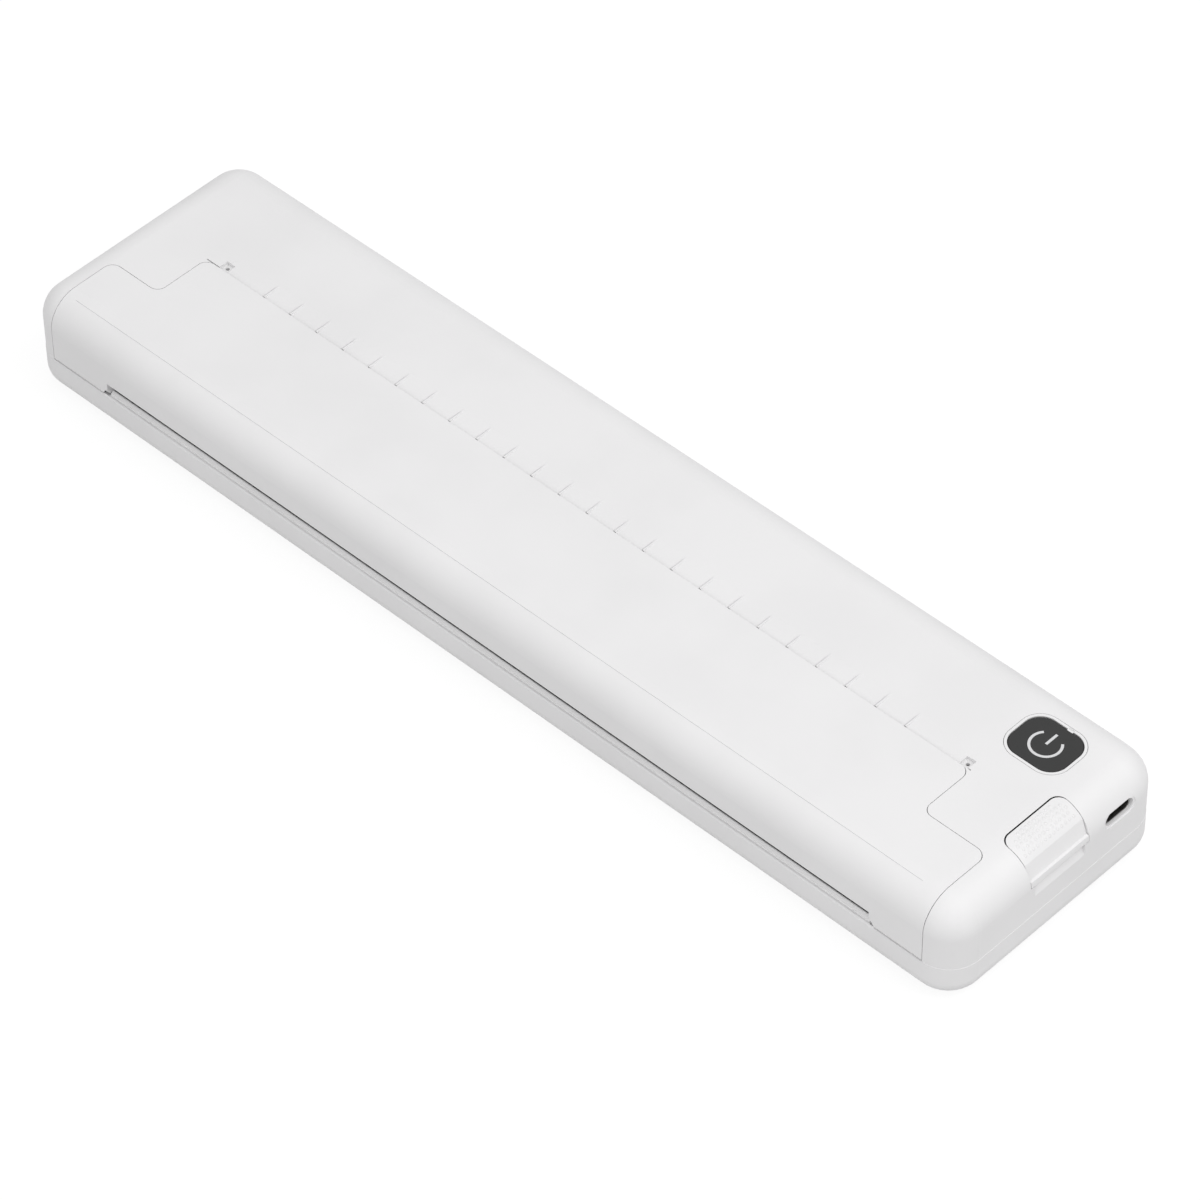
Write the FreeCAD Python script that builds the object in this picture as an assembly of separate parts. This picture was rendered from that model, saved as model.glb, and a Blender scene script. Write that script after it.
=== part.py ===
import FreeCAD, Part
import math
import os

# A portable thermal printer for A4 sheets: a long white bar that feeds a sheet in at the front slot,
# past a rubber platen and a print head, and out at the slit on top, beside an engraved ruler.
# The front cover swings forward on two pins and takes the platen with it.
# Axes: +X to the end with the power button, -Y to the front slot, +Z up.
# The origin lies on the table under the middle of the bar. All sizes are millimetres.

VECTOR = FreeCAD.Vector
X_WAY = VECTOR(1, 0, 0)
Y_WAY = VECTOR(0, 1, 0)
Z_WAY = VECTOR(0, 0, 1)

# The whole bar
LENGTH = 332.6
DEPTH = 79.6
HEIGHT = 31.8
WALL = 2.0
CORNER_R = 10.0
TOP_R = 9.5
BOTTOM_R = 5.0
CROWN_RUN = 14.0
CROWN_R = 40.0
FOOT_PROUD = 0.8
PARTING_RISE = 10.8
UPPER_STEP = 0.1
SEAM = 0.3
RUNNING = 0.05
OVERRUN = 5.0
SLOPE_SHARE = 2.0 - math.sqrt(2.0)
STUD_SIDES = 8
STUD_ROUND = 1 / math.cos(math.pi / STUD_SIDES)

# The front cover's outline, seen from above
COVER_LEFT_END = 9.7
COVER_RIGHT_END = 10.1
LEFT_SHOULDER = 17.8
RIGHT_SHOULDER = 21.2
SHOULDER_DEPTH = 23.3
SLIT_DEPTH = 41.4
SLIT_GAP = 0.35
COVER_SEAM = 0.2
COVER_EDGE = 0.3
COVER_CORNER_R = 3.0
CREASE_DEPTH = 6.5
CREASE_WIDTH = 0.4
CREASE_SINK = 0.15
CREASE_LEFT_GAP = 3.5
CREASE_RIGHT_GAP = 6.0

# The paper slot between the cover and the lower case
SLOT_LEFT_END = 21.1
SLOT_RIGHT_END = 17.4
SLOT_TOP_RISE = 4.6
SLOT_STEP_RISE = 2.8
SLOT_SLANT = 2.0
LIP_RISE = 1.3
LIP_FOOT_DROP = 0.4
LIP_LAND = 0.3
LIP_ROOT_DROP = 3.0

# The cover's hinge
KNUCKLE_R = 2.2
HINGE_PIN_R = 1.1
HINGE_GAP = 0.25
HINGE_RELIEF = 0.15
KNUCKLE_BORE_DEPTH = 7.0
KNUCKLE_STOP = 0.1
HINGE_PIN_LENGTH = 10.0
HINGE_BOSS_LENGTH = 4.0
CHEEK_WALL = 1.6

# The platen and its bearings
PLATEN_R = 6.0
PLATEN_LEFT_INSET = 25.0
PLATEN_RIGHT_INSET = 24.8
PLATEN_SETBACK = 0.6
PLATEN_Z = 20.5
SHAFT_R = 2.2
PLATEN_END_GAP = 1.0
NIP_GAP = 0.3
BUSH_WIDTH = 4.0
BUSH_R = 3.6
SHAFT_STUB = 0.8

# The print head
HEAD_END = 3.0
CERAMIC_THICKNESS = 1.0
CERAMIC_DROP = 8.0
CERAMIC_RISE = 6.0
HEAT_SINK_THICKNESS = 3.0
HEAT_SINK_RISE = 7.0
HEAT_SINK_DROP = 8.0
HEAT_SINK_RIB = 1.2
DRIVER_COVER_HEIGHT = 2.6
DRIVER_COVER_PROUD = 0.9
HEAD_PIVOT_Z = 10.0
HEAD_PIVOT_R = 1.0
HEAD_EAR_R = 2.2
HEAD_EAR_WIDTH = 3.0
HEAD_EAR_INSET = 6.0
BRACKET_SHEET = 1.2
BRACKET_GAP = 5.6
BRACKET_RISE = 5.0
SPRING_COUNT = 4
SPRING_WIDTH = 8.0
SPRING_SHEET = 0.4
SPRING_HEIGHT = 11.0
SPRING_GAP = 0.3

# The gear train at the left end
GEAR_MODULE = 0.6
PLATEN_TEETH = 18
FRONT_IDLER_TEETH = 16
REAR_IDLER_TEETH = 20
PINION_TEETH = 12
ADDENDUM_SHARE = 0.9
DEDENDUM_SHARE = 1.2
PRESSURE_ANGLE = math.radians(20.0)
GEAR_BACKLASH = 0.1
GEAR_EXTRA_CENTRE = 0.1
GEAR_FACE = 5.0
GEAR_CHEEK_GAP = 0.8
GEAR_PLATE_GAP = 0.8
GEAR_PLATE = 1.2
IDLER_AXLE_R = 1.2
IDLER_HUB_R = 2.4
IDLER_HUB = 0.5
AXLE_HEAD = 0.5
FLANK_STEPS = 1
PLATEN_TO_FRONT_ANGLE = math.radians(-90.0)
FRONT_TO_REAR_ANGLE = math.radians(10.0)
REAR_TO_PINION_ANGLE = math.radians(20.0)
MOTOR_R = 10.0
MOTOR_LENGTH = 18.0
MOTOR_HOLE_R = 2.0
MOTOR_SHAFT_R = 0.75
MOTOR_EAR_R = 3.2
MOTOR_EAR_REACH = 12.5
MOTOR_EAR_HOLE_R = 1.2
MOTOR_EAR_ANGLE = math.radians(-10.0)
GEAR_PLATE_FRONT = 9.0
GEAR_PLATE_FRONT_RISE = 10.0
GEAR_PLATE_RISE = 23.0
GEAR_PLATE_FOOT = 6.0

# The release latch, its pin, spring and sliding bar
LATCH_WIDTH = 21.6
LATCH_FORWARD = 1.6
LATCH_SIDE_SEAM = 0.2
LATCH_REACH = 10.6
LATCH_CORNER_R = 3.0
LATCH_SKIN = 2.0
LATCH_CHAMFER_RISE = 17.0
LATCH_LEDGE_RISE = 12.6
LATCH_LIP_RISE = 10.6
LATCH_CHAMFER_TOP_INSET = 2.6
LATCH_CHAMFER_FOOT_INSET = 0.9
LATCH_LEDGE_INSET = 0.2
LATCH_PIVOT_INSET = 6.9
LATCH_PIVOT_DROP = 5.0
LATCH_PIN_R = 1.0
LATCH_BARREL_R = 2.0
LATCH_BARREL = 5.6
LATCH_ARM_WIDTH = 3.0
LATCH_ARM_SHIFT = 1.0
LATCH_ARM_HALF = 1.0
LATCH_ARM_LEAN = 4.4
LATCH_TIP_R = 1.5
LATCH_UNDERCUT = 2.4
LUG_WIDTH = 2.0
LUG_HALF = 2.4
LUG_DROP = 2.6
RECESS_DROP = 3.6
RECESS_DEPTH = 1.6
RECESS_WIDTH = 18.6
BAR_THICKNESS = 2.0
BAR_WIDTH = 6.0
BAR_RISE = 1.4
FORK_HEIGHT = 1.6
FORK_THICKNESS = 1.2
HOOK_GAP = 0.3
HOOK_REACH = 3.0
HOOK_NOSE = 1.2
HOOK_WIDTH = 2.2
HOOK_TOP_RISE = 5.0
WINDOW_MARGIN = 0.4
TORSION_WIRE = 0.4
TORSION_R = 1.5
TORSION_LENGTH = 5.0
TORSION_LEG = 4.0

# The power button, its bezel and the port board
BUTTON_LENGTH = 17.6
BUTTON_DEPTH = 15.3
BUTTON_CORNER_R = 5.2
BUTTON_END_INSET = 23.6
BUTTON_BACK_INSET = 18.7
BUTTON_SINK = 0.1
BUTTON_CAP = 3.2
BUTTON_FLANGE = 1.0
BUTTON_EDGE = 0.25
BUTTON_TRAVEL_GAP = 0.65
BUTTON_STEM_R = 2.5
BEZEL_GAP = 0.12
BEZEL_WIDTH = 0.75
BEZEL_HOLE_GAP = 0.15
BEZEL_FLANGE = 1.2
BEZEL_FLANGE_THICKNESS = 0.8
BEZEL_FLANGE_DROP = 0.1
LIGHT_LENGTH = 1.6
LIGHT_WIDTH = 0.5
LIGHT_SHIFT = 1.6
BOARD = 1.6
PORT_BOARD_LENGTH = 24.0
PORT_BOARD_DEPTH = 18.0
PORT_BOARD_END_INSET = 6.6
TACT_SIDE = 6.0
TACT_HEIGHT = 3.5
TACT_PLUNGER_R = 1.7
TACT_PLUNGER = 1.0
PORT_BACK_INSET = 17.2
PORT_RISE = 11.4
PORT_WIDTH = 8.94
PORT_HEIGHT = 3.2
PORT_LENGTH = 7.4
PORT_SHELL = 0.3
PORT_TONGUE = 0.7
PORT_TONGUE_WIDTH = 6.4
PORT_FACE_INSET = 1.0
PORT_HOLE_WIDTH = 10.4
PORT_HOLE_HEIGHT = 4.0
PORT_RIM = 0.7

# The ruler, the bevel and the pockets at the slit
TICK_PITCH = 10.0
TICK_WIDTH = 0.7
RULER_DEPTH = 5.9
RULER_SINK = 0.18
BEVEL_WIDTH = 1.5
BEVEL_SINK = 0.5
POCKET_SIDE = 3.0
POCKET_SINK = 1.0
POCKET_LEFT_INSET = 6.2
POCKET_RIGHT_INSET = 2.4
POCKET_HOLE_R = 0.6

# Paper guides
GUIDE_PLATE = 1.2
GUIDE_DROP = 7.8
GUIDE_END_ANGLE = math.radians(-65.0)
GUIDE_FRONT_GAP = 0.2
GUIDE_SIDE_GAP = 0.4
GUIDE_END_MARGIN = 4.0
GUIDE_NARROW_DEPTH = 22.3
GUIDE_RIB = 0.5
GUIDE_RIB_WIDTH = 1.0
GUIDE_RIB_PITCH = 20.0
GUIDE_LEG = 1.6
GUIDE_LEG_COUNT = 4
GUIDE_LEG_FRONT = 1.6
GUIDE_LEG_DEPTH = 22.0
SENSOR_LENGTH = 6.0
SENSOR_DEPTH = 4.0
SENSOR_HEIGHT = 3.0
SENSOR_SETBACK = 22.5

# The cover's ribs and its inner frame
RIB = 1.4
RIB_PITCH = 40.0
RIB_BITE = 1.0
TONGUE_RIB_DROP = 2.6
FRAME_PLATE = 1.6
FRAME_FRONT_GAP = 0.3
FRAME_SIDE_GAP = 0.4
FRAME_WIDE_DEPTH = 22.0
FRAME_NARROW_DEPTH = 27.8
FRAME_BACK_REACH = 5.4
TAIL_DROP = 12.6
TAIL_FRONT = 5.6
TAIL_BACK = 1.0
TAIL_TOP_DROP = 7.0
COVER_BOSS_DEPTH = 12.8
COVER_BOSS_LEFT_INSET = 9.1
COVER_BOSS_RIGHT_INSET = 5.3
COVER_BOSS_REACH = 46.6
COVER_BOSS_R = 2.6

# Screws and feet of the case
SCREW_LEFT_INSET = 15.3
SCREW_RIGHT_INSET = 19.3
SCREW_FRONT_LEFT_DEPTH = 30.8
SCREW_FRONT_RIGHT_DEPTH = 27.8
SCREW_BACK_LEFT_INSET = 10.8
SCREW_BACK_RIGHT_END_INSET = 33.9
SCREW_BACK_RIGHT_INSET = 7.4
CASE_BOSS_R = 2.8
CASE_BOSS_TOP = 14.0
SCREW_R = 1.2
SCREW_HOLE_R = 1.45
SCREW_HEAD_R = 2.3
SCREW_HEAD = 1.5
SCREW_SINK = 1.1
SCREW_GRIP = 5.5
FOOT_LENGTH = 20.0
FOOT_WIDTH = 7.0
FOOT_CORNER = 2.0
FOOT_SINK = 0.6
FOOT_X_INSET = 28.0
FOOT_Y_INSET = 12.0

# Battery and main board
CELL_R = 9.2
CELL_LENGTH = 65.0
CELL_CAP_R = 3.0
CELL_CAP = 1.0
CELL_GAP = 2.0
CELL_END_INSET = 49.3
CELL_BACK_INSET = 14.2
CELL_TROUGH_R = 10.0
TRAY_FLOOR = 0.8
TRAY_WALL = 1.6
TRAY_WALL_RISE = 8.0
SADDLE_SHARES = (0.25, 0.75)
MAIN_BOARD_CELL_GAP = 9.0
MAIN_BOARD_END_INSET = 38.3
MAIN_BOARD_DEPTH = 22.0
MAIN_BOARD_BACK_GAP = 3.4
MAIN_BOARD_RISE = 3.0
STANDOFF_R = 2.2
STANDOFF_INSET = 4.0
CHIP_PLACE_SHARES = ((0.22, 0.45), (0.46, 0.5), (0.64, 0.72), (0.7, 0.28), (0.86, 0.5), (0.1, 0.5))
CHIP_LENGTHS = (9.0, 12.0, 6.0, 5.0, 7.0, 4.0)
CHIP_DEPTHS = (9.0, 8.0, 5.0, 5.0, 6.0, 12.0)
CHIP_HEIGHTS = (1.0, 1.2, 2.4, 1.0, 3.0, 4.6)
CAPACITOR_PLACE_SHARES = ((0.55, 0.2), (0.78, 0.72))
CAPACITOR_R = 2.5
CAPACITOR_HEIGHT = 6.0

# Places worked out from the sizes above
LEFT = -LENGTH / 2
RIGHT = LENGTH / 2
FRONT = -DEPTH / 2
BACK = DEPTH / 2
CASE_BOTTOM = FOOT_PROUD
FLOOR = CASE_BOTTOM + WALL
TOP = HEIGHT
ROOF = TOP - WALL
PARTING = CASE_BOTTOM + PARTING_RISE
COVER_LEFT = LEFT + COVER_LEFT_END
COVER_RIGHT = RIGHT - COVER_RIGHT_END
TONGUE_LEFT = COVER_LEFT + LEFT_SHOULDER
TONGUE_RIGHT = COVER_RIGHT - RIGHT_SHOULDER
SHOULDER_Y = FRONT + SHOULDER_DEPTH
SLIT_Y = FRONT + SLIT_DEPTH
COVER_FRONT = FRONT + UPPER_STEP
POCKET_LEFT = TONGUE_LEFT + POCKET_LEFT_INSET
POCKET_RIGHT = TONGUE_RIGHT - POCKET_RIGHT_INSET
SLOT_LEFT = COVER_LEFT + SLOT_LEFT_END
SLOT_RIGHT = COVER_RIGHT - SLOT_RIGHT_END
SLOT_TOP = PARTING + SLOT_TOP_RISE
HINGE_Y = COVER_FRONT + KNUCKLE_R
HINGE_Z = PARTING + HINGE_GAP + KNUCKLE_R
HINGE_SWEEP_R = math.hypot(KNUCKLE_R, KNUCKLE_R - COVER_EDGE) + HINGE_RELIEF
COVER_BOTTOM = PARTING + HINGE_GAP
LIP_TOP = PARTING + LIP_RISE
LIP_FRONT = FRONT + LIP_RISE + LIP_FOOT_DROP
LIP_BACK = LIP_FRONT + LIP_LAND
PLATEN_Y = SLIT_Y - PLATEN_SETBACK - PLATEN_R
RUBBER_LEFT = TONGUE_LEFT + PLATEN_LEFT_INSET
RUBBER_RIGHT = TONGUE_RIGHT - PLATEN_RIGHT_INSET
PLATEN_LENGTH = RUBBER_RIGHT - RUBBER_LEFT
PAPER_X = (RUBBER_LEFT + RUBBER_RIGHT) / 2
LEFT_BUSH = RUBBER_LEFT - PLATEN_END_GAP - BUSH_WIDTH
RIGHT_BUSH = RUBBER_RIGHT + PLATEN_END_GAP
GEAR_LEFT = LEFT_BUSH - GEAR_CHEEK_GAP - GEAR_FACE
GEAR_PLATE_LEFT = GEAR_LEFT - GEAR_PLATE_GAP - GEAR_PLATE
HEAD_LEFT = RUBBER_LEFT - HEAD_END
HEAD_RIGHT = RUBBER_RIGHT + HEAD_END
HEAD_Y = PLATEN_Y + PLATEN_R + NIP_GAP
SINK_Y = HEAD_Y + CERAMIC_THICKNESS
SINK_BACK = SINK_Y + HEAT_SINK_THICKNESS
HEAD_PIVOT_Y = SINK_Y + HEAT_SINK_THICKNESS / 2
BRACKET_Y = SINK_BACK + BRACKET_GAP
LATCH_LEFT = RIGHT - LATCH_REACH
LATCH_X = RIGHT - LATCH_PIVOT_INSET
LATCH_Z = TOP - LATCH_PIVOT_DROP
LATCH_HALF = LATCH_WIDTH / 2
LATCH_Y = SLIT_Y - LATCH_FORWARD
LATCH_ARM_Y = PLATEN_Y - LATCH_ARM_SHIFT
LATCH_LIP_Z = PARTING + LATCH_LIP_RISE
BAR_BOTTOM = FLOOR + BAR_RISE
BAR_TOP = BAR_BOTTOM + BAR_THICKNESS
LATCH_TIP_X = LATCH_X - LATCH_ARM_LEAN
LATCH_TIP_Z = BAR_TOP - BAR_THICKNESS / 2
BUTTON_X = RIGHT - BUTTON_END_INSET
BUTTON_Y = BACK - BUTTON_BACK_INSET
BUTTON_TOP = TOP - BUTTON_SINK
PORT_Y = BACK - PORT_BACK_INSET
PORT_Z = PARTING + PORT_RISE
PORT_BOARD_TOP = PORT_Z - PORT_HEIGHT / 2
PORT_BOARD_RIGHT = RIGHT - PORT_BOARD_END_INSET
PORT_BOARD_LEFT = PORT_BOARD_RIGHT - PORT_BOARD_LENGTH
GUIDE_TOP = PLATEN_Z - GUIDE_DROP
GUIDE_NARROW = PLATEN_LENGTH - 2 * GUIDE_END_MARGIN
GUIDE_RIB_COUNT = int(GUIDE_NARROW / GUIDE_RIB_PITCH) + 1
GUIDE_LEG_PITCH = GUIDE_NARROW / GUIDE_LEG_COUNT
RIB_COUNT = int((TONGUE_RIGHT - TONGUE_LEFT) / RIB_PITCH) + 1
TICK_COUNT = math.ceil(PLATEN_LENGTH / TICK_PITCH) + 1
FRAME_BOTTOM = SLOT_TOP
FRAME_TOP = FRAME_BOTTOM + FRAME_PLATE
CELL_START_X = LEFT + CELL_END_INSET
CELL_Y = BACK - CELL_BACK_INSET
CELL_Z = FLOOR + TRAY_FLOOR + CELL_R + SEAM
MAIN_BOARD_START_X = CELL_START_X + 2 * CELL_LENGTH + CELL_GAP + MAIN_BOARD_CELL_GAP
MAIN_BOARD_LENGTH = RIGHT - MAIN_BOARD_END_INSET - MAIN_BOARD_START_X
MAIN_BOARD_Y = BACK - WALL - UPPER_STEP - MAIN_BOARD_BACK_GAP + SEAM - MAIN_BOARD_DEPTH
MAIN_BOARD_Z = FLOOR + MAIN_BOARD_RISE
CASE_SCREW_PLACES = ((LEFT + SCREW_LEFT_INSET, FRONT + SCREW_FRONT_LEFT_DEPTH),
                     (LEFT + SCREW_LEFT_INSET, BACK - SCREW_BACK_LEFT_INSET),
                     (RIGHT - SCREW_BACK_RIGHT_END_INSET, BACK - SCREW_BACK_RIGHT_INSET),
                     (RIGHT - SCREW_RIGHT_INSET, FRONT + SCREW_FRONT_RIGHT_DEPTH))


# Shapes used throughout

def box(x_span, y_span, z_span):
    """A block from three (low, high) pairs."""
    return Part.makeBox(x_span[1] - x_span[0], y_span[1] - y_span[0], z_span[1] - z_span[0],
                        VECTOR(x_span[0], y_span[0], z_span[0]))


def around(centre, size):
    """The (low, high) pair of a size about a centre."""
    return (centre - size / 2, centre + size / 2)


def rod_x(y, z, radius, x_span):
    """A round rod along X."""
    return Part.makeCylinder(radius, x_span[1] - x_span[0], VECTOR(x_span[0], y, z), X_WAY)


def rod_y(x, z, radius, y_span):
    """A round rod along Y."""
    return Part.makeCylinder(radius, y_span[1] - y_span[0], VECTOR(x, y_span[0], z), Y_WAY)


def rod_z(x, y, radius, z_span):
    """A round rod along Z."""
    return Part.makeCylinder(radius, z_span[1] - z_span[0], VECTOR(x, y, z_span[0]), Z_WAY)


def stud_z(x, y, radius, z_span):
    """An eight-sided upright peg, for hidden bosses, screws and their holes."""
    corners = []
    for index in range(STUD_SIDES):
        angle = 2 * math.pi * (index + 1 / 2) / STUD_SIDES
        corners.append(VECTOR(x + radius * math.cos(angle), y + radius * math.sin(angle), z_span[0]))
    return polygon(corners).extrude(Z_WAY * (z_span[1] - z_span[0]))


def stud_x(y, z, radius, x_span):
    """An eight-sided peg along X."""
    corners = []
    for index in range(STUD_SIDES):
        angle = 2 * math.pi * (index + 1 / 2) / STUD_SIDES
        corners.append((y + radius * math.cos(angle), z + radius * math.sin(angle)))
    return prism_x(corners, x_span)


def stud_y(x, z, radius, y_span):
    """An eight-sided peg along Y."""
    corners = []
    for index in range(STUD_SIDES):
        angle = 2 * math.pi * (index + 1 / 2) / STUD_SIDES
        corners.append((x + radius * math.cos(angle), z + radius * math.sin(angle)))
    return prism_y(corners, y_span)


def polygon(points):
    """A flat face from its corners."""
    return Part.Face(Part.makePolygon(points + [points[0]]))


def prism_x(points, x_span):
    """A (y, z) outline carried along X."""
    face = polygon([VECTOR(x_span[0], y, z) for y, z in points])
    return face.extrude(X_WAY * (x_span[1] - x_span[0]))


def prism_y(points, y_span):
    """An (x, z) outline carried along Y."""
    face = polygon([VECTOR(x, y_span[0], z) for x, z in points])
    return face.extrude(Y_WAY * (y_span[1] - y_span[0]))


def rounded_face(corners, radii, z):
    """A level face whose corners are rounded by the given radii."""
    points = [VECTOR(x, y, z) for x, y in corners]
    count = len(points)
    edges = []
    first = None
    last = None
    for index in range(count):
        point = points[index]
        back = points[index - 1].sub(point).normalize()
        ahead = points[(index + 1) % count].sub(point).normalize()
        half = back.getAngle(ahead) / 2
        radius = radii[index]
        start = point + back * (radius / math.tan(half))
        end = point + ahead * (radius / math.tan(half))
        bisector = (back + ahead).normalize()
        middle = point + bisector * (radius / math.sin(half) - radius)
        if last is None:
            first = start
        else:
            edges.append(Part.LineSegment(last, start).toShape())
        edges.append(Part.Arc(start, middle, end).toShape())
        last = end
    edges.append(Part.LineSegment(last, first).toShape())
    return Part.Face(Part.Wire(edges))


def rounded_prism(x_span, y_span, radius, z_span):
    """A block with four rounded upright corners."""
    corners = [(x_span[0], y_span[0]), (x_span[1], y_span[0]), (x_span[1], y_span[1]),
               (x_span[0], y_span[1])]
    face = rounded_face(corners, [radius] * len(corners), z_span[0])
    return face.extrude(Z_WAY * (z_span[1] - z_span[0]))


def obround_x(y, z, width, height, x_span):
    """A bar along X with a section that is a slot with round ends, wide along Y."""
    reach = (width - height) / 2
    middle = box(x_span, (y - reach, y + reach), (z - height / 2, z + height / 2))
    ends = [rod_x(y + side * reach, z, height / 2, x_span) for side in (-1, 1)]
    return middle.multiFuse(ends).removeSplitter()


def fused(shapes):
    """One solid from several that touch or overlap."""
    return shapes[0].multiFuse(shapes[1:]).removeSplitter()


def save(name, shape):
    """Write one piece, or one group of pieces, as parts/NAME.step."""
    shape.exportStep(os.path.join("parts", name + ".step"))


# The rounded bar that both halves of the casing and the cover are cut from

def bar_block(side_inset, top_inset):
    """The bar with upright rounded corners and a softly dropping right end, drawn in on all sides."""
    x = RIGHT - side_inset
    y = BACK - side_inset
    bottom = CASE_BOTTOM + top_inset
    top = TOP - top_inset
    form = rounded_prism((-x, x), (-y, y), CORNER_R - side_inset, (bottom, top))
    crown_x = RIGHT - CROWN_RUN
    wide = (-y - OVERRUN, y + OVERRUN)
    crown_block = box((crown_x, RIGHT + OVERRUN), wide, (top - CROWN_R, top + OVERRUN))
    crown_rod = rod_y(crown_x, top - CROWN_R, CROWN_R, (wide[0] - OVERRUN, wide[1] + OVERRUN))
    form = form.cut(crown_block.cut(crown_rod))
    return form


def rim_edges(form):
    """The edges round the bar's top, without the line where the crown starts."""
    bounds = form.BoundBox
    middle = (bounds.ZMin + bounds.ZMax) / 2
    rim = []
    for edge in form.Edges:
        line = edge.BoundBox
        across = line.XLength < SEAM and abs(line.XMax - RIGHT + CROWN_RUN) < SEAM
        if line.ZMin > middle and not across:
            rim.append(edge)
    return rim


def foot_edges(form):
    """The edges round the bar's underside."""
    return [edge for edge in form.Edges if edge.BoundBox.ZMax < form.BoundBox.ZMin + SEAM]


def bar_form(step):
    """The bar's outer form with rounded edges, its sides drawn in by a step."""
    form = bar_block(step, 0)
    form = form.makeFillet(TOP_R, rim_edges(form))
    return form.makeFillet(BOTTOM_R, foot_edges(form))


def cavity_form(step, wall):
    """The space a wall's thickness inside the bar's form, with slopes in place of the roundings."""
    form = bar_block(step + wall, wall)
    form = form.makeChamfer((TOP_R - wall) * SLOPE_SHARE, rim_edges(form))
    return form.makeChamfer((BOTTOM_R - wall) * SLOPE_SHARE, foot_edges(form))


def whole_width(grow):
    """The X and Y spans of the bar, grown on every side."""
    return (LEFT - grow, RIGHT + grow), (FRONT - grow, BACK + grow)


def cover_outline(grow):
    """The cover's outline from above, grown all round by a seam."""
    front = FRONT - OVERRUN
    corners = [(COVER_LEFT - grow, front), (COVER_RIGHT + grow, front),
               (COVER_RIGHT + grow, SHOULDER_Y + grow), (TONGUE_RIGHT + grow, SHOULDER_Y + grow),
               (TONGUE_RIGHT + grow, SLIT_Y + grow), (TONGUE_LEFT - grow, SLIT_Y + grow),
               (TONGUE_LEFT - grow, SHOULDER_Y + grow), (COVER_LEFT - grow, SHOULDER_Y + grow)]
    outer = COVER_CORNER_R + grow
    inner = COVER_CORNER_R - grow
    radii = [grow + SEAM, grow + SEAM, outer, inner, outer, outer, inner, outer]
    return corners, radii


def cover_prism(grow, bottom):
    """All the space over the cover's outline, from a level up past the top."""
    corners, radii = cover_outline(grow)
    return rounded_face(corners, radii, bottom).extrude(Z_WAY * (TOP + OVERRUN - bottom))


# Lower case

def slot_lip():
    """The wedge along the slot's lower edge."""
    root = PARTING - LIP_ROOT_DROP
    return prism_x([(FRONT + WALL / 2, PARTING - LIP_FOOT_DROP + WALL / 2), (LIP_FRONT, LIP_TOP),
                    (LIP_BACK, LIP_TOP),
                    (LIP_BACK, root), (FRONT + WALL / 2, root - WALL)],
                   (SLOT_LEFT + SEAM, SLOT_RIGHT - SEAM))


def slot_chamfer():
    """What the slope below the slot takes off the front wall."""
    low = PARTING - LIP_FOOT_DROP - OVERRUN
    return prism_x([(FRONT - OVERRUN, low), (LIP_FRONT, LIP_TOP), (FRONT - OVERRUN, LIP_TOP)],
                   (SLOT_LEFT - SLOT_SLANT + HINGE_GAP, SLOT_RIGHT + SLOT_SLANT - HINGE_GAP))


def foot_places():
    """The four feet's centres."""
    x = RIGHT - FOOT_X_INSET
    y = BACK - FOOT_Y_INSET
    return [(side_x * x, side_y * y) for side_x in (-1, 1) for side_y in (-1, 1)]


def main_board_posts():
    """The four posts under the main board."""
    ends = (MAIN_BOARD_START_X + STANDOFF_INSET, MAIN_BOARD_START_X + MAIN_BOARD_LENGTH - STANDOFF_INSET)
    sides = (MAIN_BOARD_Y + STANDOFF_INSET, MAIN_BOARD_Y + MAIN_BOARD_DEPTH - STANDOFF_INSET)
    return [(x, y) for x in ends for y in sides]


def port_board_posts():
    """The two posts under the port board, in opposite corners."""
    reach = PORT_BOARD_DEPTH / 2 - STANDOFF_INSET / 2
    return [(PORT_BOARD_LEFT + STANDOFF_INSET, PORT_Y + reach),
            (PORT_BOARD_RIGHT - STANDOFF_INSET, PORT_Y - reach)]


def bar_guides():
    """Low runners that the latch bar slides on."""
    low = CASE_BOTTOM + WALL / 2
    high = BAR_BOTTOM - SEAM / 2
    return [box(around(PAPER_X + step * GUIDE_LEG_PITCH, GUIDE_LEG), around(PLATEN_Y, BAR_WIDTH),
                (low, high))
            for step in range(-1, 3)]


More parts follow.
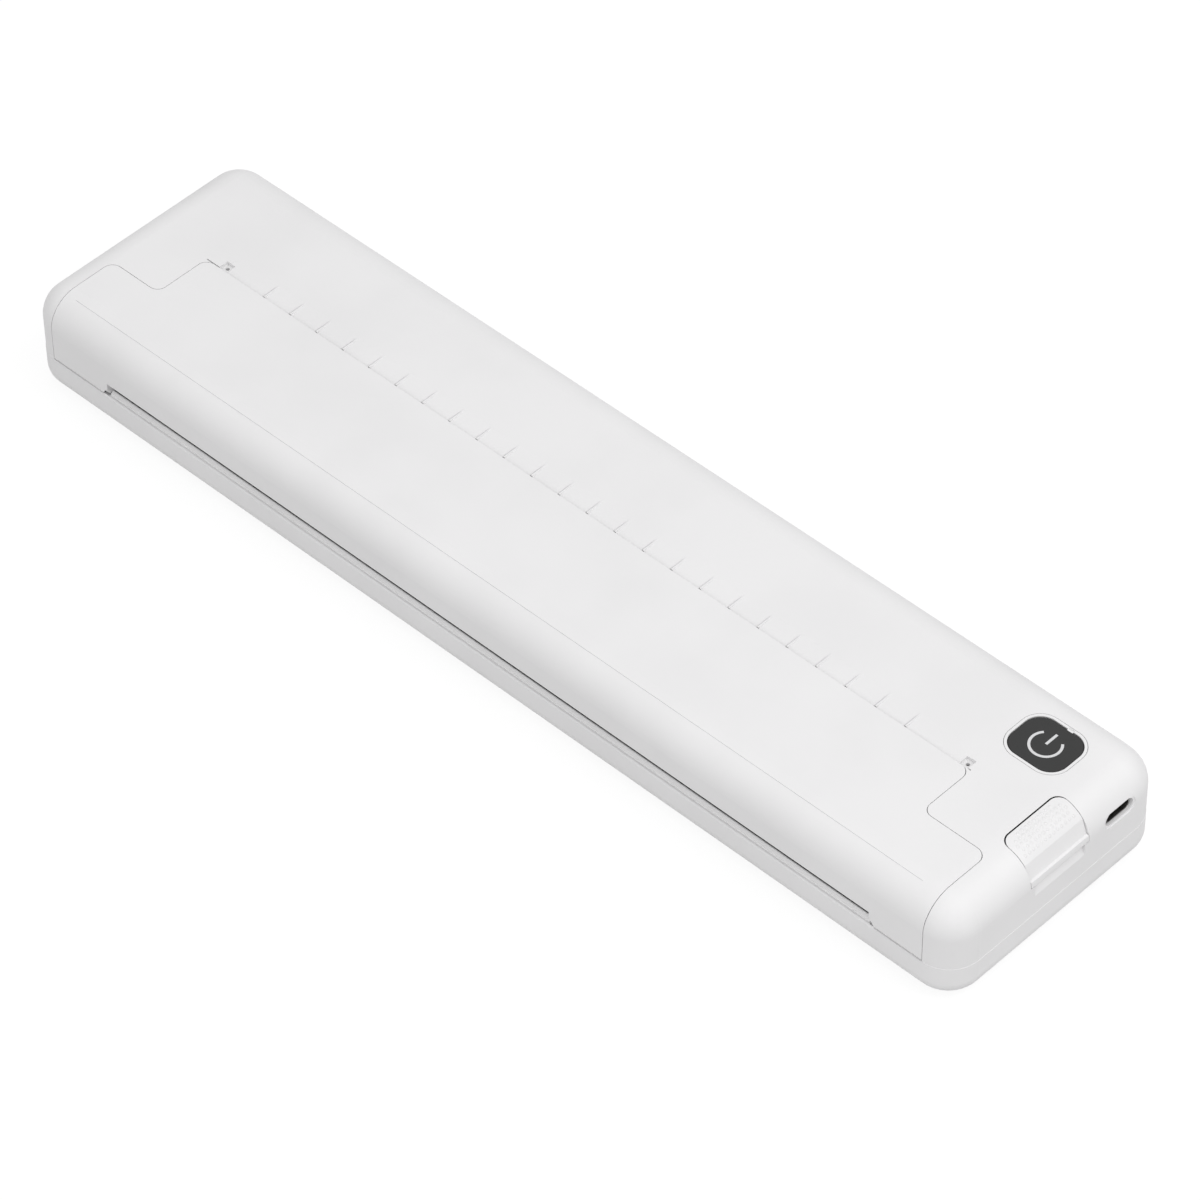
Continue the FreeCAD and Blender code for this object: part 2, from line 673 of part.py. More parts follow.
def lower_case():
    """The tray that carries everything, up to the parting line."""
    wide_x, wide_y = whole_width(OVERRUN)
    shell = bar_form(0).cut(cavity_form(0, WALL))
    shell = shell.cut(box(wide_x, wide_y, (PARTING, TOP + OVERRUN)))
    shell = shell.cut(slot_chamfer())
    low = CASE_BOTTOM + WALL / 2
    posts = [stud_z(x, y, CASE_BOSS_R, (low, CASE_BOSS_TOP)) for x, y in CASE_SCREW_PLACES]
    posts += [stud_z(x, y, STANDOFF_R, (low, MAIN_BOARD_Z)) for x, y in main_board_posts()]
    posts += [stud_z(x, y, STANDOFF_R, (low, PORT_BOARD_TOP - BOARD)) for x, y in port_board_posts()]
    body = fused([shell, slot_lip()] + posts + bar_guides())
    cuts = [rod_x(HINGE_Y, HINGE_Z, HINGE_SWEEP_R, (COVER_LEFT - COVER_SEAM, SLOT_LEFT)),
            rod_x(HINGE_Y, HINGE_Z, HINGE_SWEEP_R, (SLOT_RIGHT, COVER_RIGHT + COVER_SEAM))]
    for x, y in CASE_SCREW_PLACES:
        cuts.append(stud_z(x, y, SCREW_HOLE_R, (CASE_BOTTOM - OVERRUN, CASE_BOSS_TOP + OVERRUN)))
        head_top = CASE_BOTTOM + SCREW_SINK + SCREW_HEAD
        cuts.append(rod_z(x, y, SCREW_HEAD_R + SEAM, (CASE_BOTTOM - OVERRUN, head_top)))
    for x, y in foot_places():
        cuts.append(foot_pad(x, y, RUNNING, (CASE_BOTTOM - OVERRUN, CASE_BOTTOM + FOOT_SINK)))
    return body.cut(cuts)


def foot_pad(x, y, grow, z_span):
    """A pad with its corners cut off, grown all round."""
    half_x = FOOT_LENGTH / 2 + grow
    half_y = FOOT_WIDTH / 2 + grow
    cut = FOOT_CORNER
    corners = [(x - half_x + cut, y - half_y), (x + half_x - cut, y - half_y),
               (x + half_x, y - half_y + cut),
               (x + half_x, y + half_y - cut), (x + half_x - cut, y + half_y),
               (x - half_x + cut, y + half_y),
               (x - half_x, y + half_y - cut), (x - half_x, y - half_y + cut)]
    face = polygon([VECTOR(corner_x, corner_y, z_span[0]) for corner_x, corner_y in corners])
    return face.extrude(Z_WAY * (z_span[1] - z_span[0]))


def rubber_feet():
    """Four long pads in their recesses."""
    return Part.makeCompound([foot_pad(x, y, 0, (0, CASE_BOTTOM + FOOT_SINK)) for x, y in foot_places()])


def case_screws():
    """Four screws from below, each a round head and a shank."""
    screws = []
    for x, y in CASE_SCREW_PLACES:
        head_low = CASE_BOTTOM + SCREW_SINK
        head_top = head_low + SCREW_HEAD
        head = rod_z(x, y, SCREW_HEAD_R, (head_low, head_top))
        shank = stud_z(x, y, SCREW_R, (head_top, CASE_BOSS_TOP + SCREW_GRIP))
        screws.append(fused([head, shank]))
    return Part.makeCompound(screws)


# Upper housing

def seam_walls():
    """Walls inside the housing that follow the cover's seams and close the view into the casing."""
    gap = COVER_SEAM
    low = PARTING
    thick = CHEEK_WALL
    left = COVER_LEFT - gap
    right = COVER_RIGHT + gap
    tongue_low = SLOT_TOP
    walls = [box((left - thick, left), (FRONT, SHOULDER_Y + gap + thick), (low, TOP)),
             box((right, right + thick), (FRONT, SHOULDER_Y + gap + thick), (low, TOP)),
             box((left - thick, TONGUE_LEFT - gap), (SHOULDER_Y + gap, SHOULDER_Y + gap + thick),
                 (tongue_low, TOP)),
             box((TONGUE_RIGHT + gap, right + thick), (SHOULDER_Y + gap, SHOULDER_Y + gap + thick),
                 (tongue_low, TOP)),
             box((TONGUE_LEFT - gap - thick, TONGUE_LEFT - gap), (SHOULDER_Y + gap, SLIT_Y + gap),
                 (tongue_low, TOP)),
             box((TONGUE_RIGHT + gap, TONGUE_RIGHT + gap + thick), (SHOULDER_Y + gap, SLIT_Y + gap),
                 (tongue_low, TOP))]
    for start, way in ((left, -1), (right, 1)):
        span = sorted((start, start + way * HINGE_BOSS_LENGTH))
        walls.append(rod_x(HINGE_Y, HINGE_Z, KNUCKLE_R, span))
    return walls


def latch_outline(end_gap, side_gap, level):
    """The latch's outline from above, grown at its inner end and its sides, as a face at a level."""
    left = LATCH_LEFT - end_gap
    right = RIGHT + OVERRUN
    low = LATCH_Y - LATCH_HALF - side_gap
    high = LATCH_Y + LATCH_HALF + side_gap
    corners = [(left, low), (right, low), (right, high), (left, high)]
    radius = LATCH_CORNER_R + side_gap
    return rounded_face(corners, [radius, SEAM, SEAM, radius], level)


def latch_opening():
    """The latch's opening in the housing, undercut where the latch's inner edge swings in."""
    sill = LATCH_LIP_Z - SEAM
    straight = latch_outline(SEAM, LATCH_SIDE_SEAM, TOP + OVERRUN).extrude(Z_WAY * (sill - TOP - OVERRUN))
    slanted = latch_outline(SEAM, LATCH_SIDE_SEAM, TOP).extrude(VECTOR(-LATCH_UNDERCUT, 0, -LATCH_UNDERCUT))
    keep = box((LATCH_LEFT - OVERRUN, RIGHT + OVERRUN), around(LATCH_Y, LATCH_WIDTH + 2 * LATCH_SIDE_SEAM),
               (sill, TOP + OVERRUN))
    return fused([straight.common(keep), slanted])


def finger_recess():
    """The scoop below the latch for a fingertip."""
    sill = LATCH_LIP_Z - SEAM
    end = RIGHT - UPPER_STEP
    return prism_y([(end - RECESS_DEPTH, sill + SEAM), (end + OVERRUN, sill + SEAM),
                    (end + OVERRUN, sill - RECESS_DROP), (end, sill - RECESS_DROP)],
                   around(LATCH_Y, RECESS_WIDTH))


def latch_lugs():
    """Two ears under the roof that hold the latch pin."""
    ears = []
    for side in (-1, 1):
        near = LATCH_Y + side * (LATCH_HALF + 2 * SEAM)
        span = sorted((near, near + side * LUG_WIDTH))
        ears.append(box(around(LATCH_X, 2 * LUG_HALF), span, (LATCH_Z - LUG_DROP, TOP)))
    return ears


def latch_pin_span():
    """Where the latch pin lies along Y, from one ear's outer face to the other's."""
    return around(LATCH_Y, 2 * (LATCH_HALF + 2 * SEAM + LUG_WIDTH))


def button_outline(grow, z_span):
    """A block over the button's rounded outline, grown all round."""
    return rounded_prism(around(BUTTON_X, BUTTON_LENGTH + 2 * grow),
                         around(BUTTON_Y, BUTTON_DEPTH + 2 * grow),
                         BUTTON_CORNER_R + grow, z_span)


def ruler_slope():
    """The shallow slope behind the slit, steeper at its edge, that leaves the marks as fine ribs."""
    edge = SLIT_Y + SLIT_GAP
    back = edge + RULER_DEPTH
    slope = prism_x([(edge - OVERRUN, TOP + OVERRUN), (edge - OVERRUN, TOP - BEVEL_SINK),
                     (edge, TOP - BEVEL_SINK),
                     (edge + BEVEL_WIDTH, TOP - RULER_SINK), (back, TOP), (back, TOP + OVERRUN)],
                    (POCKET_LEFT, POCKET_RIGHT))
    first = PAPER_X - TICK_PITCH * (TICK_COUNT - 1) / 2
    ribs = []
    for index in range(TICK_COUNT):
        x = first + index * TICK_PITCH
        ribs.append(box(around(x, TICK_WIDTH), (edge - RUNNING, back + OVERRUN),
                        (TOP - BEVEL_SINK - OVERRUN, TOP)))
    return slope.cut(ribs).Solids


def end_pockets():
    """A small square pocket with a pin hole at each end of the slit."""
    cuts = []
    near = SLIT_Y + SLIT_GAP
    for x in (POCKET_LEFT, POCKET_RIGHT):
        cuts.append(box(around(x, POCKET_SIDE), (near - SLIT_GAP, near + POCKET_SIDE),
                        (TOP - POCKET_SINK, TOP + OVERRUN)))
        cuts.append(stud_z(x, near + POCKET_SIDE / 2, POCKET_HOLE_R, (ROOF - OVERRUN, TOP)))
    return cuts


def port_opening():
    """The port's opening in the end wall, with a sloped rim."""
    end = RIGHT - UPPER_STEP
    hole = obround_x(PORT_Y, PORT_Z, PORT_HOLE_WIDTH, PORT_HOLE_HEIGHT,
                     (end - WALL - OVERRUN, RIGHT + OVERRUN))
    rim = obround_x(PORT_Y, PORT_Z, PORT_HOLE_WIDTH + 2 * PORT_RIM, PORT_HOLE_HEIGHT + 2 * PORT_RIM,
                    (end - PORT_RIM / 2, RIGHT + OVERRUN))
    return [hole, rim]


def upper_bosses():
    """Screw bosses that hang from the roof and stand on those of the lower case."""
    return [stud_z(x, y, CASE_BOSS_R, (CASE_BOSS_TOP, TOP)) for x, y in CASE_SCREW_PLACES]


def upper_housing():
    """The rear and end half of the casing, above the parting line."""
    wide_x, wide_y = whole_width(OVERRUN)
    shell = bar_form(UPPER_STEP).cut(cavity_form(UPPER_STEP, WALL))
    inside = fused(seam_walls() + latch_lugs() + upper_bosses()).common(cavity_form(UPPER_STEP, WALL / 2))
    body = fused([shell] + inside.Solids)
    body = body.cut(box(wide_x, wide_y, (CASE_BOTTOM - OVERRUN, PARTING)))
    slit = box((TONGUE_LEFT, TONGUE_RIGHT), (SLIT_Y, SLIT_Y + SLIT_GAP), (SLOT_TOP, TOP + OVERRUN))
    cuts = [cover_prism(COVER_SEAM, PARTING - OVERRUN), slit, latch_opening(), finger_recess()]
    cuts += [button_outline(BEZEL_GAP + BEZEL_WIDTH + BEZEL_HOLE_GAP, (ROOF - OVERRUN, TOP + OVERRUN))]
    cuts += ruler_slope() + end_pockets() + port_opening()
    for side, edge in ((-1, COVER_LEFT - COVER_SEAM), (1, COVER_RIGHT + COVER_SEAM)):
        span = sorted((edge, edge + side * HINGE_BOSS_LENGTH))
        cuts.append(stud_x(HINGE_Y, HINGE_Z, HINGE_PIN_R * STUD_ROUND, span))
    for x, y in CASE_SCREW_PLACES:
        cuts.append(stud_z(x, y, SCREW_R, (CASE_BOSS_TOP - OVERRUN, CASE_BOSS_TOP + SCREW_GRIP)))
    cuts.append(stud_y(LATCH_X, LATCH_Z, LATCH_PIN_R * STUD_ROUND, latch_pin_span()))
    return body.cut(cuts)


# Front cover

def slot_cut():
    """What the paper slot takes off the cover's front wall, with a slanted step at each end."""
    step = PARTING + SLOT_STEP_RISE
    low = PARTING - OVERRUN
    return prism_y([(SLOT_LEFT - SLOT_SLANT, low), (SLOT_LEFT - SLOT_SLANT, COVER_BOTTOM),
                    (SLOT_LEFT, step),
                    (SLOT_LEFT, SLOT_TOP), (SLOT_RIGHT, SLOT_TOP), (SLOT_RIGHT, step),
                    (SLOT_RIGHT + SLOT_SLANT, COVER_BOTTOM), (SLOT_RIGHT + SLOT_SLANT, low)],
                   (FRONT - OVERRUN, SHOULDER_Y + OVERRUN))


def crease():
    """The fine groove that runs along the cover just behind its front rounding."""
    y = FRONT + CREASE_DEPTH
    run = TOP_R - (y - COVER_FRONT)
    z = TOP - TOP_R + math.sqrt(TOP_R ** 2 - run ** 2)
    half = CREASE_WIDTH / 2
    return prism_x([(y - half, z + half), (y + half, z + half + CREASE_SINK),
                    (y + half / 2, z - CREASE_SINK)],
                   (COVER_LEFT + CREASE_LEFT_GAP, COVER_RIGHT - CREASE_RIGHT_GAP))


def cover_edge():
    """The small slope along the cover's lower front edge, which lets it roll over the case."""
    edge = COVER_EDGE
    return prism_x([(COVER_FRONT - edge, COVER_BOTTOM + 2 * edge),
                    (COVER_FRONT + 2 * edge, COVER_BOTTOM - edge),
                    (COVER_FRONT - edge, COVER_BOTTOM - edge)],
                   (COVER_LEFT - OVERRUN, COVER_RIGHT + OVERRUN))


def cover_rib(x):
    """One cross rib under the cover's skin at a place along X."""
    front = COVER_FRONT + WALL / 2
    step = FRONT + FRAME_NARROW_DEPTH
    low = ROOF - TONGUE_RIB_DROP
    back = SLIT_Y - SEAM
    return prism_x([(front, FRAME_TOP), (step, FRAME_TOP), (step, low), (back, low), (back, TOP),
                    (front, TOP)],
                   around(x, RIB))


def cover_boss_places():
    """The bosses that the inner frame is screwed to, along the cover."""
    y = FRONT + COVER_BOSS_DEPTH
    return [(TONGUE_LEFT + COVER_BOSS_LEFT_INSET, y), (PAPER_X - COVER_BOSS_REACH, y),
            (PAPER_X + COVER_BOSS_REACH, y),
            (TONGUE_RIGHT - COVER_BOSS_RIGHT_INSET, y)]


def front_cover():
    """The cover's skin with its ribs, end walls, screw bosses and hinge knuckles."""
    skin = bar_form(UPPER_STEP).cut(cavity_form(UPPER_STEP, WALL)).common(cover_prism(0, COVER_BOTTOM))
    skin = skin.cut(slot_cut())
    first = PAPER_X - RIB_PITCH * (RIB_COUNT - 1) / 2
    inner = [cover_rib(first + index * RIB_PITCH) for index in range(RIB_COUNT)]
    low = COVER_BOTTOM + SEAM
    for span in ((COVER_LEFT, COVER_LEFT + RIB), (COVER_RIGHT - RIB, COVER_RIGHT)):
        inner.append(box(span, (HINGE_Y, SHOULDER_Y - COVER_CORNER_R), (low, TOP)))
    inner += [stud_z(x, y, COVER_BOSS_R, (FRAME_TOP, TOP)) for x, y in cover_boss_places()]
    inner = fused(inner).common(cavity_form(UPPER_STEP, RIB_BITE))
    knuckles = [rod_x(HINGE_Y, HINGE_Z, KNUCKLE_R, (COVER_LEFT, SLOT_LEFT - KNUCKLE_STOP)),
                rod_x(HINGE_Y, HINGE_Z, KNUCKLE_R, (SLOT_RIGHT + KNUCKLE_STOP, COVER_RIGHT))]
    body = fused([skin] + inner.Solids + knuckles)
    bores = []
    for side, edge in ((1, COVER_LEFT), (-1, COVER_RIGHT)):
        span = sorted((edge - side * OVERRUN, edge + side * KNUCKLE_BORE_DEPTH))
        bores.append(rod_x(HINGE_Y, HINGE_Z, HINGE_PIN_R + RUNNING, span))
    return body.cut(bores + [crease(), cover_edge()])


def hinge_pins():
    """Two steel pins, held in the housing and running in the cover's knuckles."""
    pins = []
    for side, edge in ((-1, COVER_LEFT - COVER_SEAM), (1, COVER_RIGHT + COVER_SEAM)):
        outer = edge + side * HINGE_BOSS_LENGTH
        span = sorted((outer, outer - side * HINGE_PIN_LENGTH))
        pins.append(rod_x(HINGE_Y, HINGE_Z, HINGE_PIN_R, span))
    return Part.makeCompound(pins)


# The frame inside the cover, with the platen's bearings

def frame_cheek(x_span):
    """A side plate that holds one bush and ends in the tail that the latch hook catches."""
    back = PLATEN_Y + FRAME_BACK_REACH
    tail_low = PLATEN_Z - TAIL_DROP
    outline = [(FRONT + FRAME_WIDE_DEPTH, FRAME_BOTTOM), (FRONT + FRAME_WIDE_DEPTH, ROOF - SEAM),
               (back, ROOF - SEAM), (back, PLATEN_Z - PLATEN_R / 2),
               (PLATEN_Y + TAIL_BACK, PLATEN_Z - TAIL_TOP_DROP), (PLATEN_Y + TAIL_BACK, tail_low),
               (PLATEN_Y - TAIL_FRONT, tail_low), (PLATEN_Y - TAIL_FRONT, FRAME_BOTTOM - GUIDE_PLATE)]
    plate = prism_x(outline, x_span)
    bush_hole = stud_x(PLATEN_Y, PLATEN_Z, BUSH_R, (x_span[0] - OVERRUN, x_span[1] + OVERRUN))
    hook_top = BAR_TOP + HOOK_TOP_RISE
    window = box((x_span[0] - OVERRUN, x_span[1] + OVERRUN),
                 around(hook_middle_y(), HOOK_WIDTH + 2 * WINDOW_MARGIN),
                 (hook_top - HOOK_NOSE * 2 - WINDOW_MARGIN, hook_top + WINDOW_MARGIN))
    return plate.cut(bush_hole).cut(window)


def hook_middle_y():
    """The hooks' centre, under the middle of the cheeks' tails."""
    return PLATEN_Y + (TAIL_BACK - TAIL_FRONT) / 2


def cover_frame():
    """The moulding screwed into the cover: upper paper guide and platen cheeks in one."""
    front = COVER_FRONT + WALL + FRAME_FRONT_GAP
    wide = box((SLOT_LEFT + FRAME_SIDE_GAP, SLOT_RIGHT - FRAME_SIDE_GAP),
               (front, FRONT + FRAME_WIDE_DEPTH), (FRAME_BOTTOM, FRAME_TOP))
    narrow = box((LEFT_BUSH, RIGHT_BUSH + BUSH_WIDTH),
                 (FRONT + FRAME_WIDE_DEPTH - WALL, FRONT + FRAME_NARROW_DEPTH),
                 (FRAME_BOTTOM, FRAME_TOP))
    ribs = []
    for x in guide_rib_places():
        ribs.append(box(around(x, GUIDE_RIB_WIDTH), (front + WALL, FRONT + FRAME_NARROW_DEPTH),
                        (FRAME_BOTTOM - GUIDE_RIB, FRAME_TOP)))
    cheeks = [frame_cheek((LEFT_BUSH, LEFT_BUSH + BUSH_WIDTH)),
              frame_cheek((RIGHT_BUSH, RIGHT_BUSH + BUSH_WIDTH))]
    return fused([wide, narrow] + ribs + cheeks)


def platen_bushes():
    """Two plain bearings in the cheeks, eight-sided outside so that they can't turn."""
    bushes = []
    for left in (LEFT_BUSH, RIGHT_BUSH):
        span = (left, left + BUSH_WIDTH)
        bushes.append(stud_x(PLATEN_Y, PLATEN_Z, BUSH_R, span).cut(
            rod_x(PLATEN_Y, PLATEN_Z, SHAFT_R + RUNNING, span)))
    return Part.makeCompound(bushes)


def platen_shaft():
    """The steel shaft, from the gear to past the right bush."""
    return rod_x(PLATEN_Y, PLATEN_Z, SHAFT_R, (GEAR_LEFT, RIGHT_BUSH + BUSH_WIDTH + SHAFT_STUB))


def platen_rubber():
    """The rubber sleeve that carries the paper."""
    span = (RUBBER_LEFT, RUBBER_RIGHT)
    return rod_x(PLATEN_Y, PLATEN_Z, PLATEN_R, span).cut(rod_x(PLATEN_Y, PLATEN_Z, SHAFT_R, span))


# Gear train

def involute(radius, base):
    """The involute angle at a radius."""
    angle = math.acos(min(1.0, base / radius))
    return math.tan(angle) - angle


def gear_outline(teeth, centre, phase):
    """The (y, z) outline of a spur gear with involute flanks, one tooth centred at the phase angle."""
    pitch_r = GEAR_MODULE * teeth / 2
    base_r = pitch_r * math.cos(PRESSURE_ANGLE)
    tip_r = pitch_r + ADDENDUM_SHARE * GEAR_MODULE
    root_r = pitch_r - DEDENDUM_SHARE * GEAR_MODULE
    thickness = math.pi * GEAR_MODULE / 2 - GEAR_BACKLASH
    half_at_pitch = thickness / (2 * pitch_r)
    start_r = max(base_r, root_r)
    flank = []
    for step in range(FLANK_STEPS + 1):
        radius = start_r + (tip_r - start_r) * step / FLANK_STEPS
        flank.append((radius, half_at_pitch + involute(pitch_r, base_r) - involute(radius, base_r)))
    if root_r < base_r:
        flank.insert(0, (root_r, flank[0][1]))
    points = []
    for index in range(teeth):
        middle = phase + 2 * math.pi * index / teeth
        for radius, half in flank:
            points.append((radius, middle - half))
        for radius, half in reversed(flank):
            points.append((radius, middle + half))
    return [(centre[0] + radius * math.cos(angle), centre[1] + radius * math.sin(angle)) for radius,
            angle in points]


def mate(centre, teeth, phase, angle, next_teeth):
    """Centre and phase of the gear that meshes with a given one in a given direction."""
    distance = GEAR_MODULE * (teeth + next_teeth) / 2 + GEAR_EXTRA_CENTRE
    next_centre = (centre[0] + distance * math.cos(angle), centre[1] + distance * math.sin(angle))
    part_turn = (angle - phase) * teeth / (2 * math.pi)
    next_phase = angle + math.pi - (1 / 2 - part_turn) * 2 * math.pi / next_teeth
    return next_centre, next_phase


PLATEN_CENTRE = (PLATEN_Y, PLATEN_Z)
PLATEN_PHASE = PLATEN_TO_FRONT_ANGLE
FRONT_CENTRE, FRONT_PHASE = mate(PLATEN_CENTRE, PLATEN_TEETH, PLATEN_PHASE, PLATEN_TO_FRONT_ANGLE,
                                 FRONT_IDLER_TEETH)
REAR_CENTRE, REAR_PHASE = mate(FRONT_CENTRE, FRONT_IDLER_TEETH, FRONT_PHASE, FRONT_TO_REAR_ANGLE,
                               REAR_IDLER_TEETH)
PINION_CENTRE, PINION_PHASE = mate(REAR_CENTRE, REAR_IDLER_TEETH, REAR_PHASE, REAR_TO_PINION_ANGLE,
                                   PINION_TEETH)


def gear(teeth, centre, phase):
    """A plain spur gear blank with its teeth."""
    return prism_x(gear_outline(teeth, centre, phase), (GEAR_LEFT, GEAR_LEFT + GEAR_FACE))


def platen_gear():
    """The gear on the platen's shaft."""
    bore = rod_x(PLATEN_Y, PLATEN_Z, SHAFT_R, (GEAR_LEFT - OVERRUN, GEAR_LEFT + GEAR_FACE + OVERRUN))
    return gear(PLATEN_TEETH, PLATEN_CENTRE, PLATEN_PHASE).cut(bore)


def idler_gear(teeth, centre, phase):
    """An idler that runs on its axle, with a short hub towards the side plate."""
    hub = rod_x(centre[0], centre[1], IDLER_HUB_R, (GEAR_LEFT - IDLER_HUB, GEAR_LEFT))
    bore = rod_x(centre[0], centre[1], IDLER_AXLE_R + RUNNING,
                 (GEAR_LEFT - OVERRUN, GEAR_LEFT + GEAR_FACE + OVERRUN))
    return fused([gear(teeth, centre, phase), hub]).cut(bore)


def motor_pinion():
    """The brass pinion with the motor's turning shaft."""
    y, z = PINION_CENTRE
    shaft = rod_x(y, z, MOTOR_SHAFT_R, (GEAR_PLATE_LEFT - SHAFT_STUB, GEAR_LEFT + GEAR_FACE))
    return fused([gear(PINION_TEETH, PINION_CENTRE, PINION_PHASE), shaft])


def gear_axles():
    """Two axles riveted into the side plate, with retaining heads."""
    axles = []
    for y, z in (FRONT_CENTRE, REAR_CENTRE):
        pin = rod_x(y, z, IDLER_AXLE_R, (GEAR_PLATE_LEFT, GEAR_LEFT + GEAR_FACE + RUNNING))
        head = stud_x(y, z, IDLER_HUB_R - SEAM,
                      (GEAR_LEFT + GEAR_FACE + RUNNING, GEAR_LEFT + GEAR_FACE + AXLE_HEAD))
        axles.append(fused([pin, head]))
    return Part.makeCompound(axles)


def motor_ear_places():
    """The motor's two mounting ears, on opposite sides of its axis."""
    y, z = PINION_CENTRE
    places = []
    for angle in (MOTOR_EAR_ANGLE, MOTOR_EAR_ANGLE + math.pi):
        places.append((y + MOTOR_EAR_REACH * math.cos(angle), z + MOTOR_EAR_REACH * math.sin(angle)))
    return places


def gear_bracket():
    """The steel side plate that carries the gear axles and the motor, with a foot on the case floor."""
    y, z = PINION_CENTRE
    span = (GEAR_PLATE_LEFT, GEAR_PLATE_LEFT + GEAR_PLATE)
    back = y + MOTOR_R + MOTOR_EAR_R
    outline = [(FRONT_CENTRE[0] - GEAR_PLATE_FRONT / 2, FLOOR), (back, FLOOR),
               (back, FLOOR + GEAR_PLATE_RISE),
               (y - MOTOR_R / 2, FLOOR + GEAR_PLATE_RISE),
               (FRONT_CENTRE[0] - GEAR_PLATE_FRONT / 2, FLOOR + GEAR_PLATE_FRONT_RISE)]
    plate = prism_x(outline, span)
    foot = box((GEAR_PLATE_LEFT - GEAR_PLATE_FOOT, GEAR_PLATE_LEFT + GEAR_PLATE),
               (y - MOTOR_R / 2, back), (FLOOR, FLOOR + GEAR_PLATE))
    wide = (span[0] - OVERRUN, span[1] + OVERRUN)
    holes = [stud_x(y, z, MOTOR_HOLE_R, wide)]
    holes += [stud_x(place[0], place[1], IDLER_AXLE_R * STUD_ROUND, wide)
              for place in (FRONT_CENTRE, REAR_CENTRE)]
    holes += [stud_x(place[0], place[1], MOTOR_EAR_HOLE_R, wide) for place in motor_ear_places()]
    return fused([plate, foot]).cut(holes)


def stepper_motor():
    """The drum-shaped step motor with a front boss and a flange with two ears."""
    y, z = PINION_CENTRE
    right = GEAR_PLATE_LEFT
    drum = rod_x(y, z, MOTOR_R, (right - MOTOR_LENGTH, right))
    flange = [drum]
    for ear_y, ear_z in motor_ear_places():
        flange.append(stud_x(ear_y, ear_z, MOTOR_EAR_R, (right - GEAR_PLATE, right)))
    body = fused(flange)
    wide = (right - GEAR_PLATE - OVERRUN, right + OVERRUN)
    holes = [stud_x(ear_y, ear_z, MOTOR_EAR_HOLE_R, wide) for ear_y, ear_z in motor_ear_places()]
    holes.append(stud_x(y, z, MOTOR_SHAFT_R * STUD_ROUND + RUNNING,
                        (right - SHAFT_STUB - SEAM, right + OVERRUN)))
    return body.cut(holes)


# Print head

def thermal_head():
    """The thin ceramic strip with the heating line, which faces the platen."""
    return box((HEAD_LEFT, HEAD_RIGHT), (HEAD_Y, SINK_Y),
               (PLATEN_Z - CERAMIC_DROP, PLATEN_Z + CERAMIC_RISE))


def head_driver_cover():
    """The black strip that covers the driver chips along the ceramic's foot."""
    low = PLATEN_Z - CERAMIC_DROP
    outline = [(HEAD_Y, low), (HEAD_Y, low + DRIVER_COVER_HEIGHT),
               (HEAD_Y - DRIVER_COVER_PROUD / 2, low + DRIVER_COVER_HEIGHT),
               (HEAD_Y - DRIVER_COVER_PROUD, low + DRIVER_COVER_HEIGHT / 2),
               (HEAD_Y - DRIVER_COVER_PROUD, low)]
    return prism_x(outline, (HEAD_LEFT + HEAD_EAR_WIDTH, HEAD_RIGHT - HEAD_EAR_WIDTH))


def head_ear_spans():
    """Where the heat sink's two pivot ears lie along X."""
    left = HEAD_LEFT + HEAD_EAR_INSET
    right = HEAD_RIGHT - HEAD_EAR_INSET
    return ((left, left + HEAD_EAR_WIDTH), (right - HEAD_EAR_WIDTH, right))


def head_heatsink():
    """The aluminium plate behind the ceramic, with pivot ears at its foot and a stiffening rib on top."""
    foot = PLATEN_Z - HEAT_SINK_DROP
    plate = box((HEAD_LEFT, HEAD_RIGHT), (SINK_Y, SINK_BACK), (foot, PLATEN_Z + HEAT_SINK_RISE))
    rib = box((HEAD_LEFT, HEAD_RIGHT), (SINK_BACK, SINK_BACK + HEAT_SINK_RIB),
              (PLATEN_Z + HEAT_SINK_RISE - HEAT_SINK_RIB, PLATEN_Z + HEAT_SINK_RISE))
    pieces = [plate, rib]
    for span in head_ear_spans():
        pieces.append(box(span, around(HEAD_PIVOT_Y, HEAT_SINK_THICKNESS), (HEAD_PIVOT_Z, foot)))
        pieces.append(stud_x(HEAD_PIVOT_Y, HEAD_PIVOT_Z, HEAD_EAR_R, span))
    body = fused(pieces)
    for span in head_ear_spans():
        body = body.cut(rod_x(HEAD_PIVOT_Y, HEAD_PIVOT_Z, HEAD_PIVOT_R + RUNNING,
                              (span[0] - OVERRUN, span[1] + OVERRUN)))
    return body


def head_pivot_pins():
    """Two pins in the bracket's ears, on which the head rocks."""
    pins = []
    for side, span in zip((-1, 1), head_ear_spans()):
        outer = HEAD_LEFT if side < 0 else HEAD_RIGHT
        inner = span[1] if side < 0 else span[0]
        pins.append(rod_x(HEAD_PIVOT_Y, HEAD_PIVOT_Z, HEAD_PIVOT_R, sorted((outer, inner))))
    return Part.makeCompound(pins)


def spring_places():
    """The pressure springs' centres along X."""
    pitch = (HEAD_RIGHT - HEAD_LEFT) / SPRING_COUNT
    return [HEAD_LEFT + pitch / 2 + index * pitch for index in range(SPRING_COUNT)]


